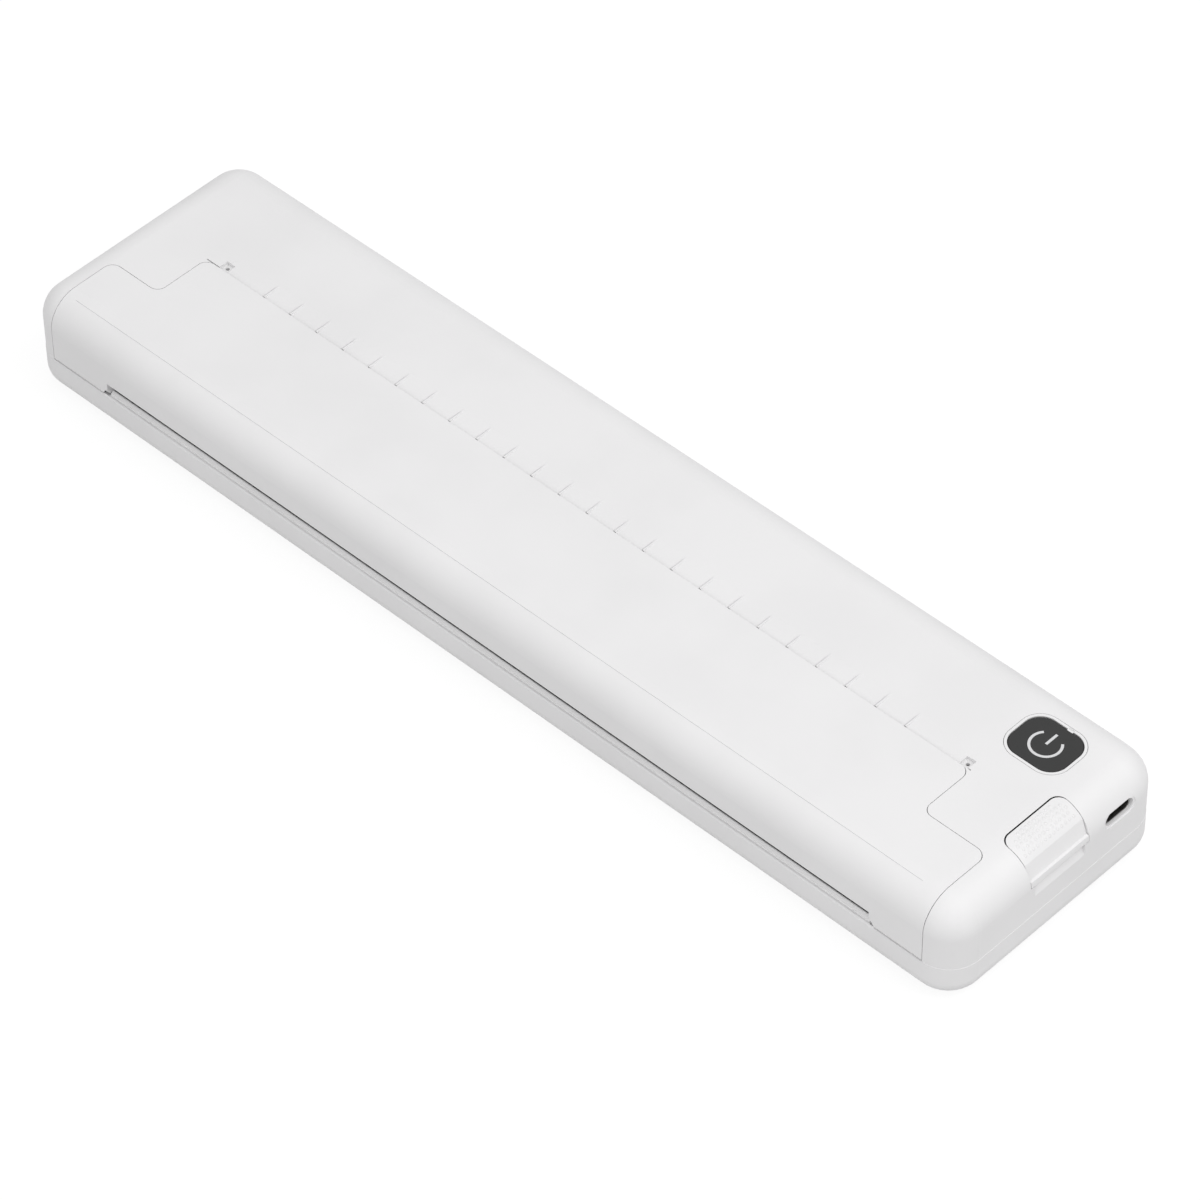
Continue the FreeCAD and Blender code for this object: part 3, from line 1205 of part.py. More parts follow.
def head_bracket():
    """The bent steel bracket: floor flange, upright wall behind the head and two pivot ears."""
    top = PLATEN_Z + BRACKET_RISE
    wall = box((HEAD_LEFT, HEAD_RIGHT), (BRACKET_Y, BRACKET_Y + BRACKET_SHEET), (FLOOR, top))
    floor_depth = BRACKET_Y - HEAD_PIVOT_Y
    floor = box((HEAD_LEFT, HEAD_RIGHT), (BRACKET_Y - floor_depth, BRACKET_Y + BRACKET_SHEET),
                (FLOOR, FLOOR + BRACKET_SHEET))
    pieces = [wall, floor]
    ear_top = HEAD_PIVOT_Z + HEAD_EAR_R
    for span in ((HEAD_LEFT, HEAD_LEFT + BRACKET_SHEET), (HEAD_RIGHT - BRACKET_SHEET, HEAD_RIGHT)):
        pieces.append(box(span, (HEAD_PIVOT_Y, BRACKET_Y), (FLOOR, ear_top)))
        pieces.append(stud_x(HEAD_PIVOT_Y, HEAD_PIVOT_Z, HEAD_EAR_R, span))
    holes = stud_x(HEAD_PIVOT_Y, HEAD_PIVOT_Z, HEAD_PIVOT_R * STUD_ROUND,
                   (HEAD_LEFT - OVERRUN, HEAD_RIGHT + OVERRUN))
    return fused(pieces).cut(holes)


def head_springs():
    """Leaf springs riveted to the bracket that bow forward to the heat sink's back."""
    low = PLATEN_Z - SPRING_HEIGHT / 2
    high = PLATEN_Z + SPRING_HEIGHT / 2
    near = SINK_BACK + SPRING_GAP
    seat = BRACKET_Y
    sheet = SPRING_SHEET
    leaves = []
    for x in spring_places():
        outline = [(seat, low), (seat, low + SPRING_HEIGHT / 4), (seat - sheet, low + SPRING_HEIGHT / 4),
                   (near + sheet, PLATEN_Z + sheet), (near + 2 * sheet, high), (near + sheet, high),
                   (near, PLATEN_Z),
                   (seat - sheet, low + SPRING_HEIGHT / 4 - sheet), (seat - sheet, low)]
        leaves.append(prism_x(outline, around(x, SPRING_WIDTH)))
    return Part.makeCompound(leaves)


# Paper guide in the case

def guide_rib_places():
    """The small ribs that carry the sheet, along X."""
    first = PAPER_X - GUIDE_RIB_PITCH * (GUIDE_RIB_COUNT - 1) / 2
    return [first + index * GUIDE_RIB_PITCH for index in range(GUIDE_RIB_COUNT)]


def guide_turn():
    """The curved end of the guide that leads the sheet up round the platen."""
    inner_r = GUIDE_DROP
    outer_r = GUIDE_DROP + GUIDE_PLATE
    x_span = around(PAPER_X, GUIDE_NARROW)
    start = -math.pi / 2
    middle = (start + GUIDE_END_ANGLE) / 2

    def at(radius, angle):
        return VECTOR(x_span[0], PLATEN_Y + radius * math.cos(angle), PLATEN_Z + radius * math.sin(angle))

    edges = [Part.Arc(at(inner_r, start), at(inner_r, middle), at(inner_r, GUIDE_END_ANGLE)).toShape(),
             Part.LineSegment(at(inner_r, GUIDE_END_ANGLE), at(outer_r, GUIDE_END_ANGLE)).toShape(),
             Part.Arc(at(outer_r, GUIDE_END_ANGLE), at(outer_r, middle), at(outer_r, start)).toShape(),
             Part.LineSegment(at(outer_r, start), at(inner_r, start)).toShape()]
    return Part.Face(Part.Wire(edges)).extrude(X_WAY * (x_span[1] - x_span[0]))


def lower_paper_guide():
    """The lower guide: a wide plate behind the slot, a narrower one to the platen, ribs and legs."""
    front = LIP_BACK + GUIDE_FRONT_GAP
    step = FRONT + GUIDE_NARROW_DEPTH
    low = GUIDE_TOP - GUIDE_PLATE
    wide = box((SLOT_LEFT + GUIDE_SIDE_GAP, SLOT_RIGHT - GUIDE_SIDE_GAP), (front, step), (low, GUIDE_TOP))
    narrow = box(around(PAPER_X, GUIDE_NARROW), (step, PLATEN_Y), (low, GUIDE_TOP))
    pieces = [wide, narrow, guide_turn()]
    for x in guide_rib_places():
        pieces.append(box(around(x, GUIDE_RIB_WIDTH), (front + GUIDE_RIB, step),
                          (low, GUIDE_TOP + GUIDE_RIB)))
    first = -GUIDE_LEG_PITCH * (GUIDE_LEG_COUNT - 1) / 2
    for index in range(GUIDE_LEG_COUNT):
        x = first + index * GUIDE_LEG_PITCH
        leg_front = front + GUIDE_LEG_FRONT + WALL
        pieces.append(box(around(x, GUIDE_LEG), (leg_front, FRONT + GUIDE_LEG_DEPTH),
                          (FLOOR, GUIDE_TOP - GUIDE_PLATE / 2)))
    window = box(around(PAPER_X + GUIDE_RIB_PITCH / 2, SENSOR_LENGTH),
                 around(FRONT + SENSOR_SETBACK, SENSOR_DEPTH),
                 (low - OVERRUN, GUIDE_TOP + OVERRUN))
    return fused(pieces).cut(window)


def paper_sensor():
    """The small optical sensor that looks up through the guide's window."""
    seat = GUIDE_TOP - SENSOR_HEIGHT
    flange = box(around(PAPER_X + GUIDE_RIB_PITCH / 2, SENSOR_LENGTH + 2 * WALL),
                 around(FRONT + SENSOR_SETBACK, SENSOR_DEPTH + 2 * WALL),
                 (seat - WALL + GUIDE_PLATE - SEAM, GUIDE_TOP - GUIDE_PLATE))
    body = box(around(PAPER_X + GUIDE_RIB_PITCH / 2, SENSOR_LENGTH - 2 * RUNNING),
               around(FRONT + SENSOR_SETBACK, SENSOR_DEPTH - 2 * RUNNING), (seat, GUIDE_TOP - RUNNING))
    return fused([flange, body])


# Latch

def release_latch():
    """The latch: a skin that carries on the end's rounding, a chamfered lip, pivot barrels and an arm."""
    end = RIGHT - UPPER_STEP
    skin = bar_form(UPPER_STEP).cut(cavity_form(UPPER_STEP, LATCH_SKIN))
    outline = latch_outline(0, 0, LATCH_LIP_Z).extrude(Z_WAY * (TOP + OVERRUN - LATCH_LIP_Z))
    skin = skin.common(outline)
    shave = prism_y([(end - LATCH_CHAMFER_TOP_INSET, PARTING + LATCH_CHAMFER_RISE),
                     (end - LATCH_CHAMFER_FOOT_INSET, PARTING + LATCH_LEDGE_RISE),
                     (end - LATCH_LEDGE_INSET, PARTING + LATCH_LEDGE_RISE - LATCH_LEDGE_INSET),
                     (end + OVERRUN, PARTING + LATCH_LEDGE_RISE),
                     (end + OVERRUN, PARTING + LATCH_CHAMFER_RISE + LATCH_SKIN)],
                    around(LATCH_Y, LATCH_WIDTH + OVERRUN))
    skin = skin.cut(shave)
    pieces = [skin]
    for side in (-1, 1):
        outer = LATCH_Y + side * (LATCH_HALF - SEAM)
        span = sorted((outer, outer - side * LATCH_BARREL))
        pieces.append(rod_y(LATCH_X, LATCH_Z, LATCH_BARREL_R, span))
        neck = box(around(LATCH_X, LATCH_BARREL_R), span, (LATCH_Z, TOP))
        pieces.append(neck.common(cavity_form(UPPER_STEP, LATCH_SKIN / 2)))
    arm_y = around(LATCH_ARM_Y, LATCH_ARM_WIDTH)
    pieces.append(prism_y([(LATCH_X - LATCH_ARM_HALF, LATCH_Z), (LATCH_X + LATCH_ARM_HALF, LATCH_Z),
                           (LATCH_TIP_X + LATCH_ARM_HALF, LATCH_TIP_Z),
                           (LATCH_TIP_X - LATCH_ARM_HALF, LATCH_TIP_Z)], arm_y))
    pieces.append(rod_y(LATCH_TIP_X, LATCH_TIP_Z, LATCH_TIP_R, arm_y))
    bore = rod_y(LATCH_X, LATCH_Z, LATCH_PIN_R + RUNNING, around(LATCH_Y, LATCH_WIDTH + OVERRUN))
    return fused(pieces).cut(bore)


def latch_pin():
    """The steel pin through the latch and the housing's two ears."""
    return rod_y(LATCH_X, LATCH_Z, LATCH_PIN_R, latch_pin_span())


def latch_spring():
    """The wound spring round the pin, with one leg under the latch and one inwards."""
    inner = TORSION_R - TORSION_WIRE
    span = around(LATCH_Y, TORSION_LENGTH)
    coil = rod_y(LATCH_X, LATCH_Z, TORSION_R, span).cut(rod_y(LATCH_X, LATCH_Z, inner, span))
    legs = [box((LATCH_X - TORSION_LEG, LATCH_X), (span[0], span[0] + TORSION_WIRE),
                (LATCH_Z - TORSION_R, LATCH_Z - TORSION_R + TORSION_WIRE)),
            box((LATCH_X, LATCH_X + TORSION_LEG / 2), (span[1] - TORSION_WIRE, span[1]),
                (LATCH_Z - TORSION_R, LATCH_Z - TORSION_R + TORSION_WIRE))]
    return fused([coil] + legs)


def hook(face_x):
    """One hook on the bar, whose nose points at a cheek's window from its right side."""
    nose = face_x + HOOK_GAP
    post = face_x + HOOK_GAP + HOOK_NOSE
    back = post + HOOK_REACH - HOOK_NOSE
    top = BAR_TOP + HOOK_TOP_RISE
    outline = [(nose, top - HOOK_NOSE), (post, top), (back, top), (back, BAR_TOP), (post, BAR_TOP),
               (post, top - 2 * HOOK_NOSE), (nose, top - HOOK_NOSE - HOOK_GAP)]
    return prism_y(outline, around(hook_middle_y(), HOOK_WIDTH))


def latch_bar():
    """The sliding bar that links the latch to both hooks."""
    left_face = LEFT_BUSH + BUSH_WIDTH
    right_face = RIGHT_BUSH + BUSH_WIDTH
    tip_y = around(LATCH_ARM_Y, LATCH_ARM_WIDTH + 2 * SEAM)
    fork_inner = LATCH_TIP_R + HOOK_GAP
    right_end = LATCH_TIP_X + fork_inner + FORK_THICKNESS
    y_span = around(PLATEN_Y, BAR_WIDTH)
    plate = box((left_face + HOOK_GAP + HOOK_NOSE, right_end), y_span, (BAR_BOTTOM, BAR_TOP))
    slot = box(around(LATCH_TIP_X, 2 * fork_inner), tip_y, (BAR_BOTTOM - OVERRUN, BAR_TOP + OVERRUN))
    pieces = [plate.cut(slot), hook(left_face), hook(right_face)]
    for side in (-1, 1):
        near = LATCH_TIP_X + side * fork_inner
        span = sorted((near, near + side * FORK_THICKNESS))
        pieces.append(box(span, y_span, (BAR_BOTTOM, BAR_TOP + FORK_HEIGHT)))
    return fused(pieces)


# Button, bezel, light, port and boards

def power_button():
    """The button: a dark cap with softened edges, a hidden flange and a stem."""
    cap_low = BUTTON_TOP - BUTTON_CAP
    cap = button_outline(0, (cap_low, BUTTON_TOP))
    rim = [edge for edge in cap.Edges if edge.BoundBox.ZMin > BUTTON_TOP - SEAM]
    cap = cap.makeChamfer(BUTTON_EDGE, rim)
    flange_top = button_flange_top()
    flange = box(around(BUTTON_X, BUTTON_LENGTH + 2 * BUTTON_FLANGE),
                 around(BUTTON_Y, BUTTON_DEPTH - 2 * BUTTON_CORNER_R),
                 (flange_top - BEZEL_FLANGE_THICKNESS, flange_top))
    body = button_outline(0, (flange_top - BEZEL_FLANGE_THICKNESS, cap_low + SEAM))
    stem = rod_z(BUTTON_X, BUTTON_Y, BUTTON_STEM_R, (stem_low(), cap_low))
    return fused([cap, body, flange, stem])


def button_flange_top():
    """The level of the button's hidden flange, just under the bezel's."""
    return ROOF - BEZEL_FLANGE_THICKNESS - SEAM


def stem_low():
    """The foot of the button's stem, above the switch's plunger by the button's travel."""
    return PORT_BOARD_TOP + TACT_HEIGHT + TACT_PLUNGER + BUTTON_TRAVEL_GAP


def button_bezel():
    """The white ring round the button, held by a flange under the roof."""
    low = ROOF - BEZEL_FLANGE_THICKNESS
    ring = button_outline(BEZEL_GAP + BEZEL_WIDTH, (low, TOP))
    reach = BEZEL_GAP + BEZEL_WIDTH + BEZEL_FLANGE
    flange = box(around(BUTTON_X, BUTTON_LENGTH + 2 * reach),
                 around(BUTTON_Y, BUTTON_DEPTH - 2 * BUTTON_CORNER_R),
                 (low, ROOF - BEZEL_FLANGE_DROP))
    hole = button_outline(BEZEL_GAP, (low - OVERRUN, TOP + OVERRUN))
    return fused([ring, flange]).cut(hole).cut(light_block(RUNNING))


def light_block(grow):
    """The small block of the status light in the bezel's rear side."""
    y = BUTTON_Y + BUTTON_DEPTH / 2 + BEZEL_GAP
    x_span = around(BUTTON_X + LIGHT_SHIFT, LIGHT_LENGTH + 2 * grow)
    return box(x_span, (y - grow - OVERRUN * grow, y + LIGHT_WIDTH + grow),
               (ROOF - BEZEL_FLANGE_THICKNESS - grow, TOP + grow))


def status_light():
    """The clear light guide beside the button."""
    return light_block(0)


def port_board():
    """The small board that carries the port and the switch."""
    span = (PORT_BOARD_LEFT, PORT_BOARD_RIGHT)
    return box(span, around(PORT_Y, PORT_BOARD_DEPTH), (PORT_BOARD_TOP - BOARD, PORT_BOARD_TOP))


def tact_switch():
    """The switch under the button's stem."""
    base = box(around(BUTTON_X, TACT_SIDE), around(BUTTON_Y, TACT_SIDE),
               (PORT_BOARD_TOP, PORT_BOARD_TOP + TACT_HEIGHT))
    plunger = rod_z(BUTTON_X, BUTTON_Y, TACT_PLUNGER_R,
                    (PORT_BOARD_TOP + TACT_HEIGHT, PORT_BOARD_TOP + TACT_HEIGHT + TACT_PLUNGER))
    return fused([base, plunger])


def usb_c_receptacle():
    """The port: a flat steel shell with round sides, a closed back and a tongue in the middle."""
    face = RIGHT - UPPER_STEP - PORT_FACE_INSET
    back = face - PORT_LENGTH
    outer = obround_x(PORT_Y, PORT_Z, PORT_WIDTH, PORT_HEIGHT, (back, face))
    inner = obround_x(PORT_Y, PORT_Z, PORT_WIDTH - 2 * PORT_SHELL, PORT_HEIGHT - 2 * PORT_SHELL,
                      (back + 2 * PORT_SHELL, face + OVERRUN))
    tongue = box((back, face - PORT_TONGUE), around(PORT_Y, PORT_TONGUE_WIDTH), around(PORT_Z, PORT_TONGUE))
    return fused([outer.cut(inner), tongue])


def main_board():
    """The main circuit board on its four stand-offs."""
    span = (MAIN_BOARD_START_X, MAIN_BOARD_START_X + MAIN_BOARD_LENGTH)
    return box(span, (MAIN_BOARD_Y, MAIN_BOARD_Y + MAIN_BOARD_DEPTH), (MAIN_BOARD_Z, MAIN_BOARD_Z + BOARD))


def board_places(shares):
    """Places on the main board from shares of its length and depth."""
    return [(MAIN_BOARD_START_X + along * MAIN_BOARD_LENGTH, MAIN_BOARD_Y + across * MAIN_BOARD_DEPTH)
            for along, across in shares]


def board_chips():
    """Chips, connectors and capacitors on the main board."""
    top = MAIN_BOARD_Z + BOARD
    parts = []
    sizes = zip(CHIP_LENGTHS, CHIP_DEPTHS, CHIP_HEIGHTS)
    for (x, y), (length, depth, height) in zip(board_places(CHIP_PLACE_SHARES), sizes):
        parts.append(box(around(x, length), around(y, depth), (top, top + height)))
    for x, y in board_places(CAPACITOR_PLACE_SHARES):
        parts.append(stud_z(x, y, CAPACITOR_R, (top, top + CAPACITOR_HEIGHT)))
    return Part.makeCompound(parts)


def cell_spans():
    """Where the two battery cells lie along X."""
    second = CELL_START_X + CELL_LENGTH + CELL_GAP
    return ((CELL_START_X, CELL_START_X + CELL_LENGTH), (second, second + CELL_LENGTH))


def battery_cells():
    """Two round cells end to end, each with its cap."""
    cells = []
    for span in cell_spans():
        can = rod_x(CELL_Y, CELL_Z, CELL_R, span)
        cap = stud_x(CELL_Y, CELL_Z, CELL_CAP_R, (span[1], span[1] + CELL_CAP))
        cells.append(fused([can, cap]))
    return Part.makeCompound(cells)


def battery_holder():
    """The cradle: a floor plate with end walls and upright saddles under the cells."""
    spans = cell_spans()
    left = spans[0][0] - SEAM
    right = spans[1][1] + CELL_CAP + SEAM
    depth = 2 * CELL_R
    floor = box((left - TRAY_WALL, right + TRAY_WALL), around(CELL_Y, depth), (FLOOR, FLOOR + TRAY_FLOOR))
    pieces = [floor]
    for edge in (left - TRAY_WALL, right):
        pieces.append(box((edge, edge + TRAY_WALL), around(CELL_Y, depth),
                          (FLOOR, CELL_Z + TRAY_WALL_RISE / 2)))
    for span in spans:
        for share in SADDLE_SHARES:
            x = span[0] + share * CELL_LENGTH
            pieces.append(box(around(x, TRAY_WALL), around(CELL_Y, depth),
                              (FLOOR, CELL_Z - CELL_R + TRAY_WALL_RISE / 2)))
    bore = stud_x(CELL_Y, CELL_Z, CELL_TROUGH_R, (left, right))
    return fused(pieces).cut(bore)


PIECES = {
    "lower_case": lower_case,
    "upper_housing": upper_housing,
    "front_cover": front_cover,
    "cover_frame": cover_frame,
    "hinge_pins": hinge_pins,
    "platen_shaft": platen_shaft,
    "platen_rubber": platen_rubber,
    "platen_gear": platen_gear,
    "platen_bushes": platen_bushes,
    "front_idler_gear": lambda: idler_gear(FRONT_IDLER_TEETH, FRONT_CENTRE, FRONT_PHASE),
    "rear_idler_gear": lambda: idler_gear(REAR_IDLER_TEETH, REAR_CENTRE, REAR_PHASE),
    "motor_pinion": motor_pinion,
    "gear_axles": gear_axles,
    "gear_bracket": gear_bracket,
    "stepper_motor": stepper_motor,
    "thermal_head": thermal_head,
    "head_driver_cover": head_driver_cover,
    "head_heatsink": head_heatsink,
    "head_pivot_pins": head_pivot_pins,
    "head_bracket": head_bracket,
    "head_springs": head_springs,
    "lower_paper_guide": lower_paper_guide,
    "paper_sensor": paper_sensor,
    "release_latch": release_latch,
    "latch_pin": latch_pin,
    "latch_spring": latch_spring,
    "latch_bar": latch_bar,
    "power_button": power_button,
    "button_bezel": button_bezel,
    "status_light": status_light,
    "port_board": port_board,
    "tact_switch": tact_switch,
    "usb_c_receptacle": usb_c_receptacle,
    "main_board": main_board,
    "board_chips": board_chips,
    "battery_cells": battery_cells,
    "battery_holder": battery_holder,
    "rubber_feet": rubber_feet,
    "case_screws": case_screws,
}


def main():
    """Build and write every piece."""
    os.makedirs("parts", exist_ok=True)
    for name, build in PIECES.items():
        save(name, build())


main()
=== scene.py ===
import logging
import math
from dataclasses import dataclass, field
from enum import Enum
from typing import Any, Callable, Protocol

import bmesh
import bpy
from mathutils import Matrix, Vector
from mathutils.bvhtree import BVHTree


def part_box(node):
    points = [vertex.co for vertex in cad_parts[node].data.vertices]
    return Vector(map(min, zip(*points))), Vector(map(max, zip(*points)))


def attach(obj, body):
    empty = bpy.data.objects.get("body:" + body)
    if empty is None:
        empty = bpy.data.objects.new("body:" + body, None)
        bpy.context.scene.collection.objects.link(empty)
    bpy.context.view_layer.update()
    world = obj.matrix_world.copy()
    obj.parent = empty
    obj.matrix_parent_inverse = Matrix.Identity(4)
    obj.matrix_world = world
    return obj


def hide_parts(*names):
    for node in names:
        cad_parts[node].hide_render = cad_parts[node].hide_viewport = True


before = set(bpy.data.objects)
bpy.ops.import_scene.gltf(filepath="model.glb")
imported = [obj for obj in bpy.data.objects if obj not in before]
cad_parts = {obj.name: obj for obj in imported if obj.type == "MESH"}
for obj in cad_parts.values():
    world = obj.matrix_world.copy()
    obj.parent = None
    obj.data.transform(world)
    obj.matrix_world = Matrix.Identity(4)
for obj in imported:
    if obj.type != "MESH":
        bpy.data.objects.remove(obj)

LOG = logging.getLogger("printer")
MM = 0.001

WELD = 0.0005 * MM

Pair = tuple[float, float]
Triple = tuple[float, float, float]
Span = Pair
Colour = Triple
Socket = bpy.types.NodeSocket
Material = bpy.types.Material
Form = bmesh.types.BMesh
Maker = Callable[[Form], None]

FULL: Span = (0.0, 1.0)
LAYERS = 3.0


class Body(Enum):
    """The bodies that the pieces made here ride on."""

    CASE = "case"
    LATCH = "latch"
    BUTTON = "button"
    HEAD = "head"


class Slot(Enum):
    """The material slots of the pieces made here."""

    WHITE_SHELL = "white_shell"
    BRASS = "brass"
    STEEL = "steel"
    CERAMIC = "ceramic"


class Way(Enum):
    """The axis that a finish's streaks or lines follow."""

    X = 0
    Y = 1
    Z = 2


def grey(level: float) -> Colour:
    """A neutral colour of one level."""
    return (level, level, level)


class Shader:
    """A node material that is put together around one Principled shader."""

    def __init__(self, name: str, base: Colour, roughness: float) -> None:
        """Start a material with its plain values.

        Args:
            name: The material's name.
            base: The base colour, linear.
            roughness: The roughness on the shader's own socket.
        """
        self.material = bpy.data.materials.new(name)
        self.material.use_nodes = True
        self.material.diffuse_color = (*base, 1.0)
        tree = self.material.node_tree
        self.nodes = tree.nodes
        self.links = tree.links
        self.nodes.clear()
        output = self.nodes.new("ShaderNodeOutputMaterial")
        self.principled = self.nodes.new("ShaderNodeBsdfPrincipled")
        self.links.new(self.principled.outputs["BSDF"], output.inputs["Surface"])
        self.principled.inputs["Base Color"].default_value = (*base, 1.0)
        self.principled.inputs["Roughness"].default_value = roughness
        self.place = self.nodes.new("ShaderNodeTexCoord").outputs["Object"]

    def set(self, socket: str, value: float) -> None:
        """Set a plain number on the shader's own socket."""
        self.principled.inputs[socket].default_value = value

    def stretched(self, scale: Triple) -> Socket:
        """Object coordinates scaled by axis, for streaks.

        Args:
            scale: The factor along X, Y and Z.

        Returns:
            The scaled coordinates.
        """
        mapping = self.nodes.new("ShaderNodeMapping")
        mapping.inputs["Scale"].default_value = scale
        self.links.new(self.place, mapping.inputs["Vector"])
        return mapping.outputs["Vector"]

    def noise(self, pitch: float, detail: float = 2.0, place: Socket | None = None) -> Socket:
        """A cloudy pattern.

        Args:
            pitch: The size of its lumps, in metres.
            detail: How many finer layers it has.
            place: Other coordinates than the object's.

        Returns:
            A factor around one half.
        """
        node = self.nodes.new("ShaderNodeTexNoise")
        node.inputs["Scale"].default_value = 1.0 / pitch
        node.inputs["Detail"].default_value = detail
        self.links.new(place or self.place, node.inputs["Vector"])
        return node.outputs["Fac"]

    def cells(self, pitch: float) -> Socket:
        """The distance to the nearest of many scattered points.

        Args:
            pitch: The mean distance of the points, in metres.

        Returns:
            The distance as a factor.
        """
        node = self.nodes.new("ShaderNodeTexVoronoi")
        node.inputs["Scale"].default_value = 1.0 / pitch
        self.links.new(self.place, node.inputs["Vector"])
        return node.outputs["Distance"]

    def lines(self, pitch: float, way: Way, wobble: float = 0.0) -> Socket:
        """Parallel bands across an axis.

        Args:
            pitch: The distance from band to band, in metres.
            way: The axis along which the bands follow each other.
            wobble: How far the bands wander.

        Returns:
            A factor from zero to one.
        """
        node = self.nodes.new("ShaderNodeTexWave")
        node.wave_type = "BANDS"
        node.bands_direction = way.name
        node.inputs["Scale"].default_value = math.pi / (10.0 * pitch)
        node.inputs["Distortion"].default_value = wobble
        self.links.new(self.place, node.inputs["Vector"])
        return node.outputs["Fac"]

    def spread(self, factor: Socket, span: Span, target: Span = FULL) -> Socket:
        """Map one range of a factor to another, with smooth ends.

        Args:
            factor: The factor to map.
            span: Where the range starts and ends.
            target: The results at its start and its end.

        Returns:
            The mapped factor.
        """
        node = self.nodes.new("ShaderNodeMapRange")
        node.interpolation_type = "SMOOTHSTEP"
        node.inputs["From Min"].default_value = span[0]
        node.inputs["From Max"].default_value = span[1]
        node.inputs["To Min"].default_value = target[0]
        node.inputs["To Max"].default_value = target[1]
        self.links.new(factor, node.inputs["Value"])
        return node.outputs["Result"]

    def mix(self, factor: Socket, first: Colour | Socket, second: Colour) -> Socket:
        """Mix two colours by a factor.

        Args:
            factor: How much of the second colour shows.
            first: A colour, or the result of an earlier mix.
            second: The other colour.

        Returns:
            The mixed colour.
        """
        node = self.nodes.new("ShaderNodeMix")
        node.data_type = "RGBA"
        self.links.new(factor, node.inputs["Factor"])
        if isinstance(first, tuple):
            node.inputs["A"].default_value = (*first, 1.0)
        else:
            self.links.new(first, node.inputs["A"])
        node.inputs["B"].default_value = (*second, 1.0)
        return node.outputs["Result"]

    def axis(self, way: Way) -> Socket:
        """One of the object's coordinates.

        Args:
            way: The axis.

        Returns:
            The coordinate, in metres.
        """
        node = self.nodes.new("ShaderNodeSeparateXYZ")
        self.links.new(self.place, node.inputs["Vector"])
        return node.outputs[way.name]

    def work(self, operation: str, first: Socket, second: Socket | float) -> Socket:
        """Join two values by one arithmetic step.

        Args:
            operation: Blender's name of the step.
            first: The first value.
            second: The second value, or a plain number.

        Returns:
            The result.
        """
        node = self.nodes.new("ShaderNodeMath")
        node.operation = operation
        self.links.new(first, node.inputs[0])
        if isinstance(second, (int, float)):
            node.inputs[1].default_value = second
        else:
            self.links.new(second, node.inputs[1])
        return node.outputs["Value"]

    def colour(self, source: Socket) -> None:
        """Feed the base colour."""
        self.links.new(source, self.principled.inputs["Base Color"])

    def rough(self, source: Socket) -> None:
        """Feed the roughness."""
        self.links.new(source, self.principled.inputs["Roughness"])

    def bump(self, height: Socket, depth: float) -> None:
        """Raise and sink the surface, after any bump that is there already.

        Args:
            height: A factor that is the height.
            depth: The height of a factor of one, in metres.
        """
        node = self.nodes.new("ShaderNodeBump")
        node.inputs["Strength"].default_value = 1.0
        node.inputs["Distance"].default_value = depth
        normal = self.principled.inputs["Normal"]
        if normal.is_linked:
            self.links.new(normal.links[0].from_socket, node.inputs["Normal"])
        self.links.new(height, node.inputs["Height"])
        self.links.new(node.outputs["Normal"], normal)


class Recipe(Protocol):
    """Anything that knows how to make one finish."""

    def build(self) -> Material:
        """Make the material.

        Returns:
            The new material.
        """


@dataclass(frozen=True)
class MouldedPlastic:
    """Injection-moulded plastic: eroded grain, a faint cloudiness and patches of a softer gloss."""

    name: str
    base: Colour
    shade: Colour
    roughness: float
    grain_pitch: float = 0.45 * MM
    grain_depth: float = 0.006 * MM
    cloud_pitch: float = 35 * MM
    cloud_span: Span = (0.35, 0.7)
    gloss_span: Span = (0.3, 0.7)
    gloss_swing: float = 0.04
    specular: float = 0.42

    def build(self) -> Material:
        """Make the material.

        Returns:
            The new material.
        """
        shader = Shader(self.name, self.base, self.roughness)
        self.mould(shader)
        return shader.material

    def mould(self, shader: Shader) -> None:
        """Give a shader the plastic's cloudiness, gloss and grain.

        Args:
            shader: The shader to put together.
        """
        cloud = shader.noise(self.cloud_pitch, LAYERS)
        gloss = shader.noise(self.cloud_pitch / 3)
        swing = (self.roughness - self.gloss_swing, self.roughness + self.gloss_swing)
        shader.colour(shader.mix(shader.spread(cloud, self.cloud_span), self.base, self.shade))
        shader.rough(shader.spread(gloss, self.gloss_span, swing))
        shader.bump(shader.noise(self.grain_pitch, LAYERS), self.grain_depth)
        shader.bump(shader.noise(self.cloud_pitch / 2, 0.0), self.grain_depth)
        shader.set("Specular IOR Level", self.specular)


